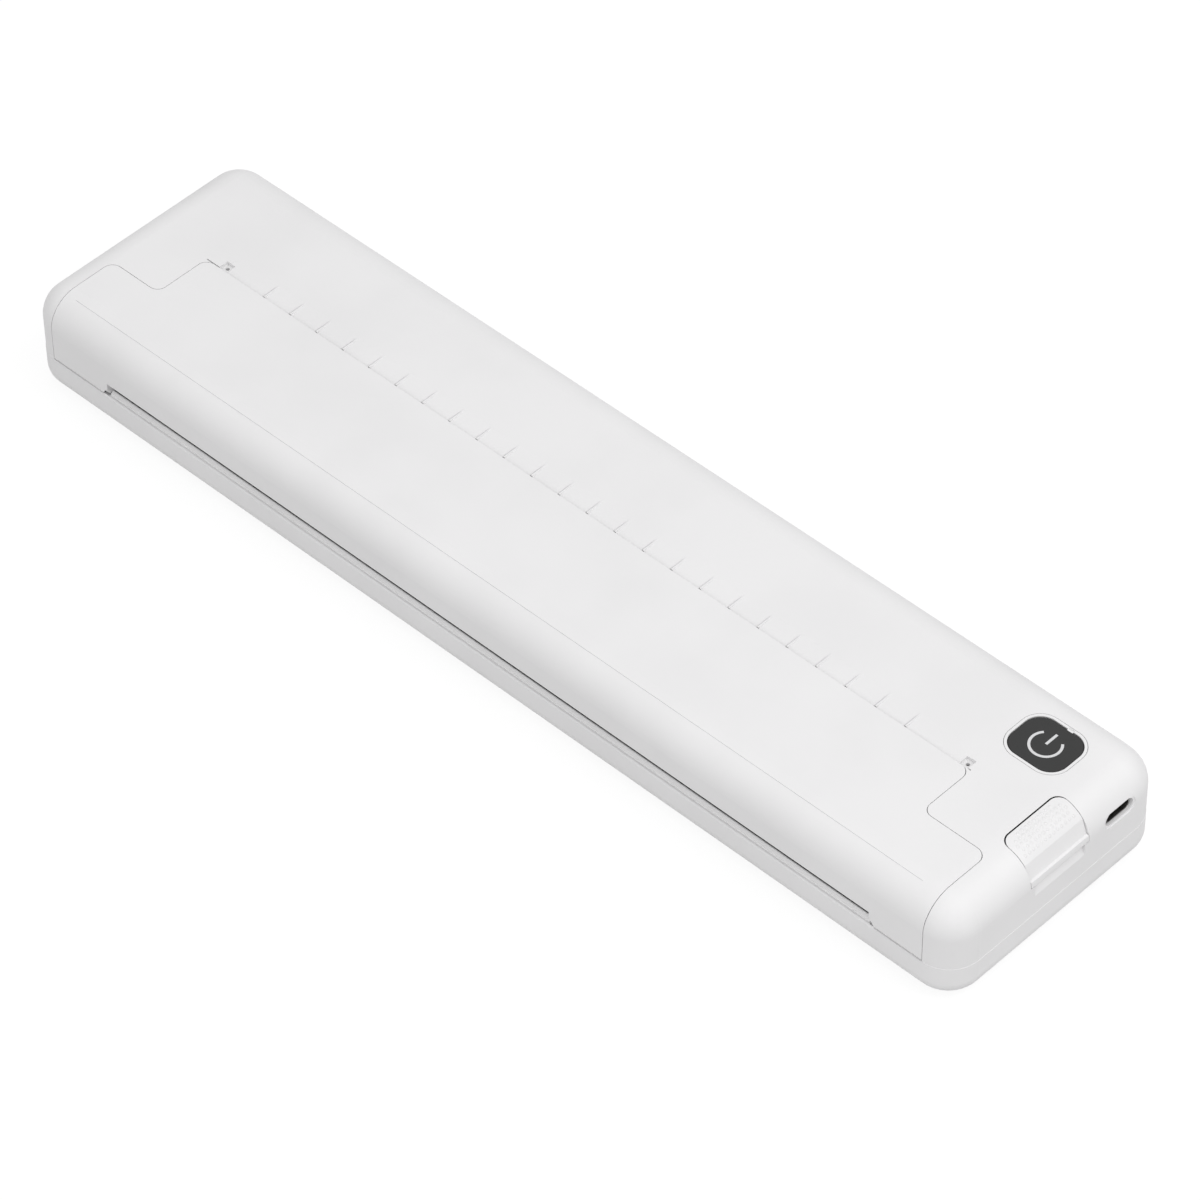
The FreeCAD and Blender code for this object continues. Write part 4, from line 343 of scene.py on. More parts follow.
@dataclass(frozen=True)
class RuledPlastic(MouldedPlastic):
    """The housing's plastic with the relief of the centimetre marks behind the slit."""

    first_x: float = -116.8 * MM
    pitch: float = 10 * MM
    count: int = 24
    half_width: float = 0.5 * MM
    edge_y: float = 1.95 * MM
    edge_margin: float = 0.1 * MM
    reach: float = 6.2 * MM
    rise: float = 0.22 * MM

    def build(self) -> Material:
        """Make the material.

        Returns:
            The new material.
        """
        shader = Shader(self.name, self.base, self.roughness)
        self.mould(shader)
        x = shader.axis(Way.X)
        start = self.first_x - self.pitch / 2
        steps = shader.work("DIVIDE", shader.work("SUBTRACT", x, start), self.pitch)
        place = shader.work("FRACT", steps, 0.0)
        away = shader.work("ABSOLUTE", shader.work("SUBTRACT", place, 0.5), 0.0)
        height = shader.spread(away, (0.0, self.half_width / self.pitch), (1.0, 0.0))
        y = shader.axis(Way.Y)
        end = (self.edge_y + self.reach / 2, self.edge_y + self.reach)
        fade = shader.spread(y, end, (1.0, 0.0))
        begun = shader.work("GREATER_THAN", y, self.edge_y - self.edge_margin)
        right = shader.work("GREATER_THAN", x, start)
        left = shader.work("LESS_THAN", x, start + self.count * self.pitch)
        for mask in (fade, begun, right, left):
            height = shader.work("MULTIPLY", height, mask)
        shader.bump(height, self.rise)
        return shader.material


@dataclass(frozen=True)
class Rubber:
    """Ground or moulded rubber: matt, with fine specks and a dusty bloom."""

    name: str
    base: Colour
    bloom: Colour
    roughness: float
    grain_pitch: float = 0.3 * MM
    grain_depth: float = 0.02 * MM
    speck_layers: float = 4.0
    speck_span: Span = (0.45, 0.75)
    specular: float = 0.3

    def build(self) -> Material:
        """Make the material.

        Returns:
            The new material.
        """
        shader = Shader(self.name, self.base, self.roughness)
        specks = shader.spread(shader.noise(self.grain_pitch, self.speck_layers), self.speck_span)
        shader.colour(shader.mix(specks, self.base, self.bloom))
        shader.bump(shader.noise(self.grain_pitch, LAYERS), self.grain_depth)
        shader.set("Specular IOR Level", self.specular)
        return shader.material


@dataclass(frozen=True)
class Metal:
    """Drawn, turned or pressed metal with fine streaks along one axis."""

    name: str
    base: Colour
    dull: Colour
    roughness: float
    way: Way = Way.X
    streak: float = 0.12 * MM
    streak_squeeze: float = 0.02
    streak_span: Span = (0.3, 0.7)
    streak_swing: Span = (-0.08, 0.12)
    streak_depth: float = 0.004 * MM
    stain_pitch: float = 9 * MM
    stain_span: Span = (0.4, 0.75)

    def build(self) -> Material:
        """Make the material.

        Returns:
            The new material.
        """
        shader = Shader(self.name, self.base, self.roughness)
        scale = [1.0, 1.0, 1.0]
        scale[self.way.value] = self.streak_squeeze
        streaks = shader.noise(self.streak, place=shader.stretched(tuple(scale)))
        stains = shader.spread(shader.noise(self.stain_pitch, LAYERS), self.stain_span)
        swing = (self.roughness + self.streak_swing[0], self.roughness + self.streak_swing[1])
        shader.colour(shader.mix(stains, self.base, self.dull))
        shader.rough(shader.spread(streaks, self.streak_span, swing))
        shader.bump(streaks, self.streak_depth)
        shader.set("Metallic", 1.0)
        return shader.material


@dataclass(frozen=True)
class PrintedBoard:
    """Green lacquer over copper: paths under the lacquer, round pads and a soft gloss."""

    name: str
    lacquer: Colour
    path: Colour
    pad: Colour
    roughness: float = 0.32
    along_pitch: float = 1.3 * MM
    along_wobble: float = 2.0
    along_span: Span = (0.6, 0.68)
    across_pitch: float = 2.1 * MM
    across_wobble: float = 1.5
    across_span: Span = (0.8, 0.86)
    pad_pitch: float = 3.4 * MM
    pad_span: Span = (0.1, 0.13)
    path_height: float = 0.02 * MM

    def build(self) -> Material:
        """Make the material.

        Returns:
            The new material.
        """
        shader = Shader(self.name, self.lacquer, self.roughness)
        rows = shader.lines(self.along_pitch, Way.Y, self.along_wobble)
        along = shader.spread(rows, self.along_span)
        columns = shader.lines(self.across_pitch, Way.X, self.across_wobble)
        across = shader.spread(columns, self.across_span)
        pads = shader.spread(shader.cells(self.pad_pitch), self.pad_span, (1.0, 0.0))
        paths = shader.mix(along, self.lacquer, self.path)
        shader.colour(shader.mix(pads, shader.mix(across, paths, self.path), self.pad))
        shader.bump(along, self.path_height)
        shader.bump(across, self.path_height)
        return shader.material


@dataclass(frozen=True)
class HeadCeramic:
    """Glazed ceramic with a fan of fine conductors."""

    name: str
    base: Colour
    trace: Colour
    roughness: float = 0.22
    trace_pitch: float = 0.5 * MM
    trace_span: Span = (0.45, 0.6)
    trace_share: float = 0.55
    trace_height: float = 0.003 * MM
    stain: Colour = grey(0.4)
    stain_pitch: float = 14 * MM
    stain_span: Span = (0.5, 0.8)
    stain_share: float = 0.2

    def build(self) -> Material:
        """Make the material.

        Returns:
            The new material.
        """
        shader = Shader(self.name, self.base, self.roughness)
        bands = shader.lines(self.trace_pitch, Way.X)
        traces = shader.spread(bands, self.trace_span, (0.0, self.trace_share))
        colour = shader.mix(traces, self.base, self.trace)
        clouds = shader.noise(self.stain_pitch)
        stains = shader.spread(clouds, self.stain_span, (0.0, self.stain_share))
        shader.colour(shader.mix(stains, colour, self.stain))
        shader.bump(traces, self.trace_height)
        return shader.material


@dataclass(frozen=True)
class Wrap:
    """Shrunk film on a battery cell, with slight puckers across it and painted shade along the
    puckers.
    """

    name: str
    base: Colour
    shade: Colour
    roughness: float = 0.3
    pucker_pitch: float = 4 * MM
    pucker_wobble: float = 6.0
    pucker_span: Span = (0.2, 0.9)
    pucker_shade_share: float = 0.5
    pucker_depth: float = 0.05 * MM
    dimple_pitch: float = 1.5 * MM
    dimple_depth: float = 0.02 * MM

    def build(self) -> Material:
        """Make the material.

        Returns:
            The new material.
        """
        shader = Shader(self.name, self.base, self.roughness)
        puckers = shader.lines(self.pucker_pitch, Way.X, self.pucker_wobble)
        # The colour darkens along the pucker bands: painted shade of the folds, on top of the bump.
        shaded = shader.spread(puckers, self.pucker_span, (0.0, self.pucker_shade_share))
        shader.colour(shader.mix(shaded, self.base, self.shade))
        shader.bump(puckers, self.pucker_depth)
        shader.bump(shader.noise(self.dimple_pitch), self.dimple_depth)
        return shader.material


@dataclass(frozen=True)
class ClearGuide:
    """Milky clear plastic that carries the status light."""

    name: str
    base: Colour
    veil: Colour = grey(0.86)
    roughness: float = 0.25
    veil_pitch: float = 1.2 * MM
    veil_span: Span = (0.3, 0.7)
    clearness: float = 0.2
    refraction: float = 1.49

    def build(self) -> Material:
        """Make the material.

        Returns:
            The new material.
        """
        shader = Shader(self.name, self.base, self.roughness)
        veil = shader.spread(shader.noise(self.veil_pitch), self.veil_span)
        shader.colour(shader.mix(veil, self.base, self.veil))
        shader.set("Transmission Weight", self.clearness)
        shader.set("IOR", self.refraction)
        return shader.material


@dataclass(frozen=True)
class Ink:
    """Pad-printed ink: a thin film with tiny pinholes at its grain."""

    name: str
    base: Colour
    hole: Colour
    roughness: float = 0.5
    hole_pitch: float = 0.2 * MM
    hole_span: Span = (0.62, 0.75)
    hole_share: float = 0.5
    film: float = 0.002 * MM

    def build(self) -> Material:
        """Make the material.

        Returns:
            The new material.
        """
        shader = Shader(self.name, self.base, self.roughness)
        grain = shader.noise(self.hole_pitch, LAYERS)
        holes = shader.spread(grain, self.hole_span, (0.0, self.hole_share))
        shader.colour(shader.mix(holes, self.base, self.hole))
        shader.bump(holes, self.film)
        return shader.material


def made(recipe: Recipe) -> Any:
    """A field whose material is built when the finishes are made.

    Args:
        recipe: How the material is made.

    Returns:
        The dataclass field.
    """
    return field(default_factory=recipe.build)


WHITE: Colour = (0.80, 0.795, 0.80)
WHITE_SHADE: Colour = (0.775, 0.77, 0.775)
INNER: Colour = (0.74, 0.735, 0.73)
INNER_SHADE: Colour = (0.70, 0.695, 0.69)
NATURAL: Colour = (0.74, 0.72, 0.66)
NATURAL_SHADE: Colour = (0.70, 0.67, 0.60)
CREAM: Colour = (0.62, 0.62, 0.60)
CREAM_SHADE: Colour = (0.57, 0.57, 0.55)
HEATER: Colour = (0.06, 0.035, 0.02)
HEATER_SHADE: Colour = (0.09, 0.05, 0.03)
GEAR_GRAIN: Pair = (0.3 * MM, 0.003 * MM)
BUTTON_GRAIN: Pair = (0.3 * MM, 0.004 * MM)
HEATER_GRAIN: Pair = (2 * MM, 0.002 * MM)
CHIP_GRAIN: Pair = (0.2 * MM, 0.006 * MM)
FOOT_GRAIN = 0.6 * MM


@dataclass(frozen=True)
class Finishes:
    """Every finish of the printer, made once."""

    shell: Material = made(MouldedPlastic("white moulded shell", WHITE, WHITE_SHADE, 0.52))
    ruled: Material = made(RuledPlastic("white shell with ruler", WHITE, WHITE_SHADE, 0.52))
    inner: Material = made(MouldedPlastic("white inner moulding", INNER, INNER_SHADE, 0.6))
    latch: Material = made(MouldedPlastic("white latch moulding", WHITE, WHITE_SHADE, 0.56))
    button: Material = made(MouldedPlastic("dark button moulding", grey(0.020), grey(0.016), 0.52,
                                           *BUTTON_GRAIN))
    black: Material = made(MouldedPlastic("black moulding", grey(0.022), grey(0.03), 0.5))
    natural: Material = made(MouldedPlastic("natural gear plastic", NATURAL, NATURAL_SHADE, 0.34,
                                            *GEAR_GRAIN))
    cream: Material = made(MouldedPlastic("second gear plastic", CREAM, CREAM_SHADE, 0.38,
                                          *GEAR_GRAIN))
    brass: Material = made(Metal("turned brass", (0.72, 0.52, 0.24), (0.55, 0.40, 0.19), 0.3))
    gold: Material = made(Metal("gold-plated contact", (0.86, 0.65, 0.30), (0.74, 0.54, 0.24),
                                0.22))
    steel_x: Material = made(Metal("ground steel rod", (0.62, 0.62, 0.63), (0.48, 0.48, 0.49),
                                   0.28))
    steel_y: Material = made(Metal("steel pin", (0.60, 0.60, 0.61), (0.47, 0.47, 0.48), 0.3,
                                   Way.Y))
    spring_steel: Material = made(Metal("spring steel", (0.52, 0.51, 0.50), (0.40, 0.38, 0.36),
                                        0.34, Way.Z))
    plated: Material = made(Metal("zinc-plated sheet", (0.66, 0.67, 0.68), (0.52, 0.53, 0.55),
                                  0.36))
    screw: Material = made(Metal("zinc-plated screw", (0.55, 0.55, 0.56), (0.40, 0.40, 0.41),
                                 0.34, Way.Z))
    sink: Material = made(Metal("extruded aluminium", (0.72, 0.73, 0.74), (0.62, 0.63, 0.64),
                                0.38))
    port_shell: Material = made(Metal("nickel-plated shell", (0.15, 0.147, 0.142),
                                      (0.11, 0.107, 0.104), 0.36))
    platen: Material = made(Rubber("platen rubber", grey(0.035), grey(0.06), 0.75))
    feet: Material = made(Rubber("foot rubber", grey(0.10), grey(0.15), 0.85, FOOT_GRAIN))
    ceramic: Material = made(HeadCeramic("glazed ceramic", (0.62, 0.61, 0.58), (0.55, 0.42, 0.22)))
    glaze: Material = made(MouldedPlastic("heater glaze", HEATER, HEATER_SHADE, 0.14,
                                          *HEATER_GRAIN))
    chips: Material = made(MouldedPlastic("chip resin", grey(0.016), grey(0.024), 0.46,
                                          *CHIP_GRAIN))
    board: Material = made(PrintedBoard("printed board", (0.012, 0.11, 0.045),
                                        (0.02, 0.19, 0.07), (0.62, 0.60, 0.52)))
    cell: Material = made(Wrap("cell wrap", (0.03, 0.16, 0.34), (0.02, 0.11, 0.26)))
    guide: Material = made(ClearGuide("milky light guide", (0.84, 0.84, 0.85)))
    ink: Material = made(Ink("printed symbol", (0.66, 0.66, 0.67), grey(0.2)))


class Assembly(Protocol):
    """Anything that is built into the scene by one call."""

    def build(self) -> None:
        """Build it."""


def node(name: str) -> bpy.types.Object:
    """The CAD node of that name."""
    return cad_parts[name]


def dress(finish: Material, *names: str) -> None:
    """Give CAD nodes their finish.

    Args:
        finish: The material.
        names: The nodes.
    """
    for name in names:
        mesh = node(name).data
        mesh.materials.clear()
        mesh.materials.append(finish)


def make_piece(name: str, maker: Maker, finish: Material, body: Body,
               smooth_below: float = 35.0) -> bpy.types.Object:
    """Make a piece from a routine that models it in place.

    Args:
        name: The piece's name.
        maker: Models the piece in an empty bmesh, in metres and in the printer's frame.
        finish: Its material.
        body: What it rides on.
        smooth_below: Edges that bend less than this many degrees are shaded smooth.

    Returns:
        The new object, at the origin.
    """
    form = bmesh.new()
    maker(form)
    bmesh.ops.remove_doubles(form, verts=form.verts, dist=WELD)
    bmesh.ops.recalc_face_normals(form, faces=form.faces)
    for face in form.faces:
        face.smooth = True
    for edge in form.edges:
        edge.smooth = edge.is_manifold and edge.calc_face_angle(math.pi) < math.radians(smooth_below)
    mesh = bpy.data.meshes.new(name)
    form.to_mesh(mesh)
    form.free()
    mesh.materials.append(finish)
    piece = bpy.data.objects.new(name, mesh)
    bpy.context.scene.collection.objects.link(piece)
    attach(piece, body.value)
    LOG.info("%s: %d faces on %s", name, len(mesh.polygons), body.value)
    return piece


def add_ring_bar(form: Form, centre: Vector, radius: float, width: float, height: float,
                 start: float, turn: float, steps: int) -> None:
    """Add a flat band bent round a centre, closed at both ends.

    Args:
        form: The bmesh that gets the band.
        centre: The centre, at the band's underside.
        radius: The radius at the band's middle.
        width: The band's width.
        height: The band's height.
        start: The angle where it starts, from +X.
        turn: How far it goes round.
        steps: How many steps it is made in.
    """
    across = Vector((math.cos(start), math.sin(start), 0))
    up = Vector((0, 0, height))
    corners = [centre + across * (radius - width / 2), centre + across * (radius + width / 2)]
    corners += [corners[1] + up, corners[0] + up]
    verts = [form.verts.new(corner) for corner in corners]
    edges = [form.edges.new((verts[index], verts[(index + 1) % 4])) for index in range(4)]
    bmesh.ops.spin(form, geom=verts + edges, cent=centre, axis=(0, 0, 1), angle=turn, steps=steps,
                   use_merge=False, use_duplicate=False)
    bmesh.ops.holes_fill(form, edges=[edge for edge in form.edges if edge.is_boundary], sides=4)


def add_block(form: Form, low: Vector, high: Vector) -> None:
    """Add a block between two corners.

    Args:
        form: The bmesh that gets the block.
        low: The lowest corner.
        high: The highest corner.
    """
    size = high - low
    place = Matrix.Translation((low + high) / 2) @ Matrix.Diagonal((size.x, size.y, size.z, 1))
    bmesh.ops.create_cube(form, size=1.0, matrix=place)


@dataclass
class CasingSkins:
    """The white mouldings of the casing and the finishes they carry."""

    finishes: Finishes

    def build(self) -> None:
        """Dress the shells and what is moulded to them."""
        dress(self.finishes.shell, "front_cover", "lower_case")
        dress(self.finishes.ruled, "upper_housing")
        dress(self.finishes.black, "cover_frame", "lower_paper_guide", "battery_holder")
        dress(self.finishes.feet, "rubber_feet")
        dress(self.finishes.steel_x, "hinge_pins")
        LOG.info("casing dressed")


@dataclass
class CrossHeadScrew:
    """A round-headed screw with a cross recess, seen from below."""

    head_r: float = 2.3 * MM
    crown: float = 0.35 * MM
    head: float = 1.5 * MM
    shank_r: float = 1.2 * MM
    arm: float = 1.15 * MM
    half_slot: float = 0.32 * MM
    recess: float = 0.7 * MM
    recess_taper: float = 0.7
    tip_share: float = 1 / 3
    segments: int = 24

    def add(self, form: Form, place: Matrix, length: float) -> None:
        """Add one screw whose head faces +Z before it is placed.

        Args:
            form: The bmesh that gets the screw.
            place: Where the middle of the head's face goes.
            length: The whole length under that face.
        """
        known = set(form.verts)
        rim = self.crossed_face(form)
        ring = self.head_ring(form)
        bmesh.ops.bridge_loops(form, edges=rim + ring)
        self.turned_body(form, ring, length)
        fresh = [vert for vert in form.verts if vert not in known]
        bmesh.ops.transform(form, matrix=place, verts=fresh)

    def crossed_face(self, form: Form) -> list[bmesh.types.BMEdge]:
        """Add the middle of the head's face with its sunk cross.

        Args:
            form: The bmesh that gets the face.

        Returns:
            The face's outer edges.
        """
        grid = bmesh.ops.create_grid(form, x_segments=3, y_segments=3, size=1.0)["verts"]
        for vert in grid:
            for axis in (0, 1):
                inner = abs(vert.co[axis]) < 0.5
                vert.co[axis] = math.copysign(self.half_slot if inner else self.arm, vert.co[axis])
        own = set(grid)
        rim = [edge for edge in form.edges if edge.is_boundary and edge.verts[0] in own]
        cross = [face for face in form.faces if face.verts[0] in own and self.in_cross(face)]
        sunk = bmesh.ops.extrude_face_region(form, geom=cross)["geom"]
        bottom = [item for item in sunk if isinstance(item, bmesh.types.BMVert)]
        bmesh.ops.delete(form, geom=cross, context="FACES_ONLY")
        bmesh.ops.translate(form, verts=bottom, vec=(0, 0, -self.recess))
        bmesh.ops.scale(form, verts=bottom, vec=(self.recess_taper, self.recess_taper, 1.0))
        return rim

    def in_cross(self, face: bmesh.types.BMFace) -> bool:
        """Whether a face of the head's middle belongs to the cross."""
        middle = face.calc_center_median()
        return min(abs(middle.x), abs(middle.y)) < self.half_slot / 2

    def head_ring(self, form: Form) -> list[bmesh.types.BMEdge]:
        """Add the round edge of the head's flat face.

        Args:
            form: The bmesh that gets the ring.

        Returns:
            The ring's edges.
        """
        circle = bmesh.ops.create_circle(form, cap_ends=False, segments=self.segments,
                                         radius=self.head_r - self.crown)["verts"]
        return list(dict.fromkeys(edge for vert in circle for edge in vert.link_edges))

    def turned_body(self, form: Form, ring: list[bmesh.types.BMEdge], length: float) -> None:
        """Add the head's side, the shank and its tip below a ring.

        Args:
            form: The bmesh that gets the body.
            ring: The edges it hangs from.
            length: The screw's whole length.
        """
        profile = ((self.head_r, self.crown), (self.head_r, self.head), (self.shank_r, self.head),
                   (self.shank_r, length), (self.shank_r * self.tip_share, length + self.shank_r))
        for radius, drop in profile:
            grown = bmesh.ops.extrude_edge_only(form, edges=ring)["geom"]
            ring = [item for item in grown if isinstance(item, bmesh.types.BMEdge)]
            for vert in {vert for edge in ring for vert in edge.verts}:
                flat = Vector((vert.co.x, vert.co.y, 0)).normalized() * radius
                vert.co = Vector((flat.x, flat.y, -drop))
        bmesh.ops.contextual_create(form, geom=ring)


@dataclass
class CaseScrews:
    """The four screws under the case, in place of the plain ones."""

    finishes: Finishes
    screw: CrossHeadScrew
    places: tuple[Pair, ...] = ((-151.0, -9.0), (-151.0, 29.0), (132.4, 32.4), (147.0, -12.0))
    first_turn: float = math.radians(17)
    turn_step: float = math.radians(41)

    def build(self) -> None:
        """Model the screws and let them stand for the CAD node."""
        piece = make_piece("case_screw_set", self.screws, self.finishes.screw, Body.CASE)
        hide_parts("case_screws")

    def screws(self, form: Form) -> None:
        """Add the four screws, heads down, each driven home at its own angle.

        Args:
            form: The bmesh that gets them.
        """
        low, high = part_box("case_screws")
        turn = Matrix.Rotation(math.pi, 4, "X")
        for index, (x, y) in enumerate(self.places):
            spin = Matrix.Rotation(self.first_turn + index * self.turn_step, 4, "Z")
            place = Matrix.Translation((x * MM, y * MM, low.z)) @ turn @ spin
            self.screw.add(form, place, high.z - low.z - 2 * self.screw.shank_r)


@dataclass
class PowerButton:
    """The dark button with its ring, light guide and printed power symbol."""

    finishes: Finishes
    symbol_r: float = 4.2 * MM
    line: float = 0.74 * MM
    film: float = 0.02 * MM
    half_gap: float = math.radians(47)
    bar_start: float = 0.1 * MM
    bar_end: float = 4.4 * MM
    tab_reach: float = 0.5 * MM
    tab_margin: float = 0.15 * MM
    tab_film: float = 0.05 * MM
    steps: int = 56

    def build(self) -> None:
        """Dress the button's nodes and print its symbol."""
        dress(self.finishes.button, "power_button")
        dress(self.finishes.shell, "button_bezel")
        dress(self.finishes.guide, "status_light")
        make_piece("power_symbol", self.symbol, self.finishes.ink, Body.BUTTON)
        make_piece("light_tab", self.tab, self.finishes.shell, Body.CASE)

    def tab(self, form: Form) -> None:
        """Add the thin lip of the ring that frames the light over the button's edge.

        Args:
            form: The bmesh that gets the lip.
        """
        low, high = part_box("status_light")
        start = Vector((low.x - self.tab_margin, low.y - self.tab_reach, high.z - self.tab_film))
        end = Vector((high.x + self.tab_margin, low.y, high.z))
        add_block(form, start, end)
        middle = (start.y + end.y) / 2
        front = [edge for edge in form.edges if self.upright(edge) and edge.verts[0].co.y < middle]
        bmesh.ops.bevel(form, geom=front, offset=self.tab_reach / 2, segments=4, profile=0.5,
                        affect="EDGES", material=-1)

    def upright(self, edge: bmesh.types.BMEdge) -> bool:
        """Whether an edge of the lip runs from its underside to its top."""
        return abs(edge.verts[0].co.z - edge.verts[1].co.z) > self.tab_film / 2

    def symbol(self, form: Form) -> None:
        """Add the open ring and the bar of a plain power sign.

        Args:
            form: The bmesh that gets them.
        """
        low_corner, high_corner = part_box("power_button")
        middle = (low_corner + high_corner) / 2
        centre = Vector((middle.x, middle.y, high_corner.z))
        start = math.pi / 2 + self.half_gap
        turn = math.tau - 2 * self.half_gap
        add_ring_bar(form, centre, self.symbol_r, self.line, self.film, start, turn, self.steps)
        half = self.line / 2
        low = centre + Vector((-half, self.bar_start, 0))
        high = centre + Vector((half, self.bar_end, self.film))
        add_block(form, low, high)


@dataclass
class ReleaseLatch:
    """The latch with its field of raised dots."""

    finishes: Finishes
    first_x: float = 157.0 * MM
    last_x: float = 162.6 * MM
    reach_y: float = 9.6 * MM
    pitch: float = 1.5 * MM
    dot_r: float = 0.5 * MM
    dot_rise: float = 0.2 * MM
    corner_r: float = 2.6 * MM
    smooth_below: float = 60.0
    flat_enough: float = 0.5
    above: float = 1.0

    def build(self) -> None:
        """Dress the latch's nodes and add the dots."""
        dress(self.finishes.latch, "release_latch")
        dress(self.finishes.inner, "latch_bar")
        dress(self.finishes.steel_y, "latch_pin")
        dress(self.finishes.spring_steel, "latch_spring")
        make_piece("latch_dots", self.dots, self.finishes.latch, Body.LATCH,
                   self.smooth_below)

    def places(self) -> list[Pair]:
        """The dots' places from above, in staggered rows inside the rounded corners.

        Returns:
            The X and Y of each dot.
        """
        found = []
        row_pitch = self.pitch * math.sin(math.pi / 3)
        rows = int((self.last_x - self.first_x) / row_pitch)
        count = int(self.reach_y / self.pitch)
        for row in range(rows + 1):
            x = self.first_x + row * row_pitch
            shift = self.pitch / 2 if row % 2 else 0.0
            for step in range(-count, count + 1):
                y = step * self.pitch + shift
                if self.within(x, y):
                    found.append((x, y))
        return found

    def within(self, x: float, y: float) -> bool:
        """Whether a place lies in the field, clear of its two rounded corners.

        Args:
            x: The place's X.
            y: The place's Y.

        Returns:
            True if a dot fits there.
        """
        inset_x = self.first_x + self.corner_r - x
        inset_y = abs(y) - (self.reach_y - self.corner_r)
        in_corner = inset_x > 0 and inset_y > 0
        outside = in_corner and math.hypot(inset_x, inset_y) > self.corner_r
        return abs(y) <= self.reach_y and not outside

    def dots(self, form: Form) -> None:
        """Add low domes that stand square on the latch's rounded skin.

        Args:
            form: The bmesh that gets the domes.
        """
        mesh = node("release_latch").data
        surface = BVHTree.FromPolygons([vert.co for vert in mesh.vertices],
                                       [list(face.vertices) for face in mesh.polygons])
        for x, y in self.places():
            hit, normal, _, _ = surface.ray_cast(Vector((x, y, self.above)), Vector((0, 0, -1)))
            if hit is None or normal.z < self.flat_enough:
                continue
            tilt = normal.to_track_quat("Z", "Y").to_matrix().to_4x4()
            shape = Matrix.Diagonal((self.dot_r, self.dot_r, self.dot_rise, 1))
            bmesh.ops.create_uvsphere(form, u_segments=8, v_segments=6, radius=1.0,
                                      matrix=Matrix.Translation(hit) @ tilt @ shape)


@dataclass
class ChargingPort:
    """The socket for the charging plug with its contacts."""

    finishes: Finishes
    contact_width: float = 0.25 * MM
    contact_pitch: float = 0.5 * MM
    contact_film: float = 0.04 * MM
    contacts: int = 12
    half_tongue: float = 0.35 * MM
    start_in: float = 1.0 * MM
    length: float = 3.6 * MM

    def build(self) -> None:
        """Dress the port and add the contacts on its tongue."""
        dress(self.finishes.port_shell, "usb_c_receptacle")
        dress(self.finishes.board, "port_board", "main_board")
        dress(self.finishes.chips, "tact_switch", "board_chips")
        make_piece("port_contacts", self.strips, self.finishes.gold, Body.CASE)

    def strips(self, form: Form) -> None:
        """Add the contact strips above and below the tongue.

        Args:
            form: The bmesh that gets the strips.
        """
        low_corner, high_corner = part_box("usb_c_receptacle")
        middle = (low_corner + high_corner) / 2
        start = high_corner.x - self.start_in
        first = middle.y - self.contact_pitch * (self.contacts - 1) / 2
        for index in range(self.contacts):
            y = first + index * self.contact_pitch
            for side in (-1, 1):
                face = middle.z + side * self.half_tongue
                bottom, top = sorted((face, face + side * self.contact_film))
                low = Vector((start - self.length, y - self.contact_width / 2, bottom))
                high = Vector((start, y + self.contact_width / 2, top))
                add_block(form, low, high)


@dataclass
class PrintHead:
    """The head, its springs and bracket, and the glazed line that heats the paper."""

    finishes: Finishes
    print_z: float = 20.5 * MM
    end_margin: float = 4.0 * MM
    line_half: float = 0.45 * MM
    rise: float = 0.05 * MM
    smooth_below: float = 80.0
    segments: int = 16

    def build(self) -> None:
        """Dress the head's nodes and add the glazed line."""
        dress(self.finishes.ceramic, "thermal_head")
        dress(self.finishes.chips, "head_driver_cover")
        dress(self.finishes.sink, "head_heatsink")
        dress(self.finishes.plated, "head_bracket")
        dress(self.finishes.spring_steel, "head_springs")
        dress(self.finishes.steel_x, "head_pivot_pins")
        make_piece("heater_line", self.glazed_line, self.finishes.glaze, Body.HEAD,
                   self.smooth_below)

    def glazed_line(self, form: Form) -> None:
        """Add a low half-round ridge along the ceramic's front.

        Args:
            form: The bmesh that gets the ridge.
        """
        low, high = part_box("thermal_head")
        length = high.x - low.x - 2 * self.end_margin
        turn = Matrix.Rotation(math.pi / 2, 4, "Y")
        middle = Vector(((low.x + high.x) / 2, low.y, self.print_z))
        shape = Matrix.Diagonal((1, self.rise / self.line_half, 1, 1))
        bmesh.ops.create_cone(form, cap_ends=True, segments=self.segments, radius1=self.line_half,
                              radius2=self.line_half, depth=length,
                              matrix=Matrix.Translation(middle) @ shape @ turn)


@dataclass
class PaperDrive:
    """The platen, its gears and the motor."""

    finishes: Finishes

    def build(self) -> None:
        """Dress the drive's nodes."""
        dress(self.finishes.steel_x, "platen_shaft", "gear_axles")
        dress(self.finishes.platen, "platen_rubber")
        dress(self.finishes.natural, "platen_gear", "rear_idler_gear")
        dress(self.finishes.cream, "front_idler_gear", "platen_bushes")
        dress(self.finishes.brass, "motor_pinion")
        dress(self.finishes.plated, "gear_bracket", "stepper_motor")
        dress(self.finishes.black, "paper_sensor")
        dress(self.finishes.cell, "battery_cells")
        LOG.info("drive dressed")


@dataclass(frozen=True)
class SoftLamp:
    """One square soft lamp that points at the printer."""

    name: str
    place: Triple
    size: float
    power: float

    def build(self) -> None:
        """Hang the lamp."""
        data = bpy.data.lights.new(self.name, "AREA")
        data.shape = "SQUARE"
        data.size = self.size
        data.energy = self.power
        lamp = bpy.data.objects.new(self.name, data)
        place = Vector(self.place)
        aim = (-place).to_track_quat("-Z", "Y").to_matrix().to_4x4()
        lamp.matrix_world = Matrix.Translation(place) @ aim
        bpy.context.scene.collection.objects.link(lamp)


